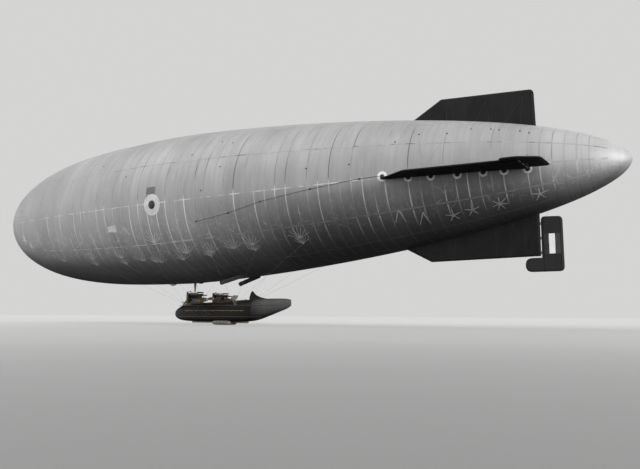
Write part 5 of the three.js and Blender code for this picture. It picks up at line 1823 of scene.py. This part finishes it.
# Suspension
# Plaited steel stays fan out from eyes on the gunwale to finger patches on the hull, with a
# turnbuckle at the foot of each and a thimble at its head.
BRIDLES = [
    # name, station of the eye, stations of the pads
    ("fore", 24.3, (16.8, 20.6, 24.2)),
    ("aft", 29.7, (29.9, 34.0, 38.0)),
]
PAD_ANGLE = -50
STAY_RADIUS = 0.0022
EYE_ROD = 0.011
EYE_FLANGE = [(0, 0.024), (0.006, 0.024), (0.012, 0.014)]
TURNBUCKLE = [(0, 0.003), (0.01, 0.006), (0.03, 0.0085), (0.1, 0.0085), (0.12, 0.006), (0.13, 0.003)]
THIMBLE = [(0, 0.004), (0.02, 0.012), (0.05, 0.014), (0.056, 0.005)]
stay_steel = metal("galvanised_stay", (0.3, 0.3, 0.3), (0.45, 0.45, 0.45), 0.5)
for where_on, eye_station, pads in BRIDLES:
    for side_name, side in SIDES:
        eye_point = place(eye_station, side * 0.86, GUNWALE_LEVEL + 0.12)
        inboard = place(eye_station, side * 0.5, GUNWALE_LEVEL + 0.02)
        rod = eye_point - inboard
        hardware = [
            turned([(0, EYE_ROD), (rod.length, EYE_ROD)], inboard, rod, 16),
            turned(EYE_FLANGE, on_car(eye_station, GUNWALE_LEVEL + 0.06, side, -0.004), rod, 20),
            hoop(eye_point, 0.024, 0.006, (pi / 2, 0, 0), 32, 10),
        ]
        heads = []
        for station in pads:
            pad = on_hull(station, PAD_ANGLE if side == 1 else 180 - PAD_ANGLE, 0.012)
            run = (pad - eye_point).normalized()
            hardware.append(wire([eye_point + run * 0.02, pad], STAY_RADIUS, 3))
            hardware.append(turned(TURNBUCKLE, eye_point + run * 0.05, run, 16))
            hardware.append(turned(THIMBLE, pad - run * 0.05, run, 16))
            fan = [tongue(0.34, 0.03, 0.014, radians(90 + 20 * turn)) for turn in range(-3, 4)]
            patch = laid_on_hull(joined(fan), station, PAD_ANGLE)
            if side == -1:
                patch.data.transform(Matrix.Scale(-1, 4, Y_AXIS))
            heads.append(patch)
        ship_side = f"{where_on}_{side_name}"
        settled(hardware, f"stays_{ship_side}", "stay_steel", stay_steel, f"bridle_{ship_side}")
        heads = modified(faces_out(joined(heads)), "SOLIDIFY", thickness=0.006, offset=0)
        settled(heads, f"stay_patches_{ship_side}", "envelope_cloth", patch_cloth, crease=None)

# Fin wires
# Steel wires brace each fin to eyes on the gas bag, in pairs from sockets on both faces. Horns of
# sheet steel stand on the rudder and the elevators for the control cables.
FIN_WIRE_RADIUS = 0.002
SIDE_FIN_LEVEL = -0.42
FIN_FACE = 0.08
UPRIGHT_WIRES = [
    # station and height of the socket, station and angle of each eye
    (47.4, 4.95, (46.75, 36), (48.51, 37)),
    (50.1, 4.9, (49.88, 45), (51.06, 46)),
    (52.5, 4.8, (51.54, 45), (52.74, 45)),
    (46.5, -4.9, (45.3, -36.5), (46.85, -46)),
    (49.5, -4.85, (48.65, -48), (49.85, -49)),
    (52.3, -4.8, (51.5, -51), (53.7, -50)),
]
SIDE_WIRES = [
    # station and reach of the socket, station and angle of each eye
    (46.7, 4.75, (45.3, -36.5), (46.85, -46)),
    (49.5, 4.6, (48.65, -48), (49.85, -49)),
    (52.2, 4.45, (51.5, -51), (51.54, 45)),
    (47.6, 4.75, (46.75, 36), (48.51, 37)),
]
WIRE_SOCKET = [(0, 0.004), (0.01, 0.007), (0.07, 0.007), (0.08, 0.003)]
HORN_LENGTH = 0.15
HORN = [(0, 0.03), (0.004, 0.03), (0.006, 0.014), (HORN_LENGTH - 0.01, 0.006), (HORN_LENGTH, 0.009),
        (HORN_LENGTH + 0.01, 0.006)]
HORN_FEET = [
    # body, foot, the way its horns point
    ("rudder", (53.62, 0, -4.66), Y_AXIS),
    ("elevator_port", (53.62, 4.1, SIDE_FIN_LEVEL), Z_AXIS),
    ("elevator_starboard", (53.62, -4.1, SIDE_FIN_LEVEL), Z_AXIS),
]
strands = []
for rows, level_fins in ((UPRIGHT_WIRES, False), (SIDE_WIRES, True)):
    for station, height, *fin_eyes in rows:
        for eye_station, angle in fin_eyes:
            socket = place(station, FIN_FACE, height)
            if level_fins:
                socket = place(station, height, SIDE_FIN_LEVEL + copysign(FIN_FACE, angle))
            end = on_hull(eye_station, angle, 0.004)
            strands += [wire([socket, end], FIN_WIRE_RADIUS), turned(WIRE_SOCKET, socket, end - socket, 12),
                        ball(socket, 0.012, 10)]
settled(both_sides(joined(strands)), "fin_wires", "stay_steel", tarred)
for body, foot, out in HORN_FEET:
    face = out * FIN_FACE * SCALE
    horns = [turned(HORN, place(*foot) + face, out, 16), turned(HORN, place(*foot) - face, -out, 16)]
    settled(horns, f"{body}_horns", "tube_steel", tube_steel, body=body)
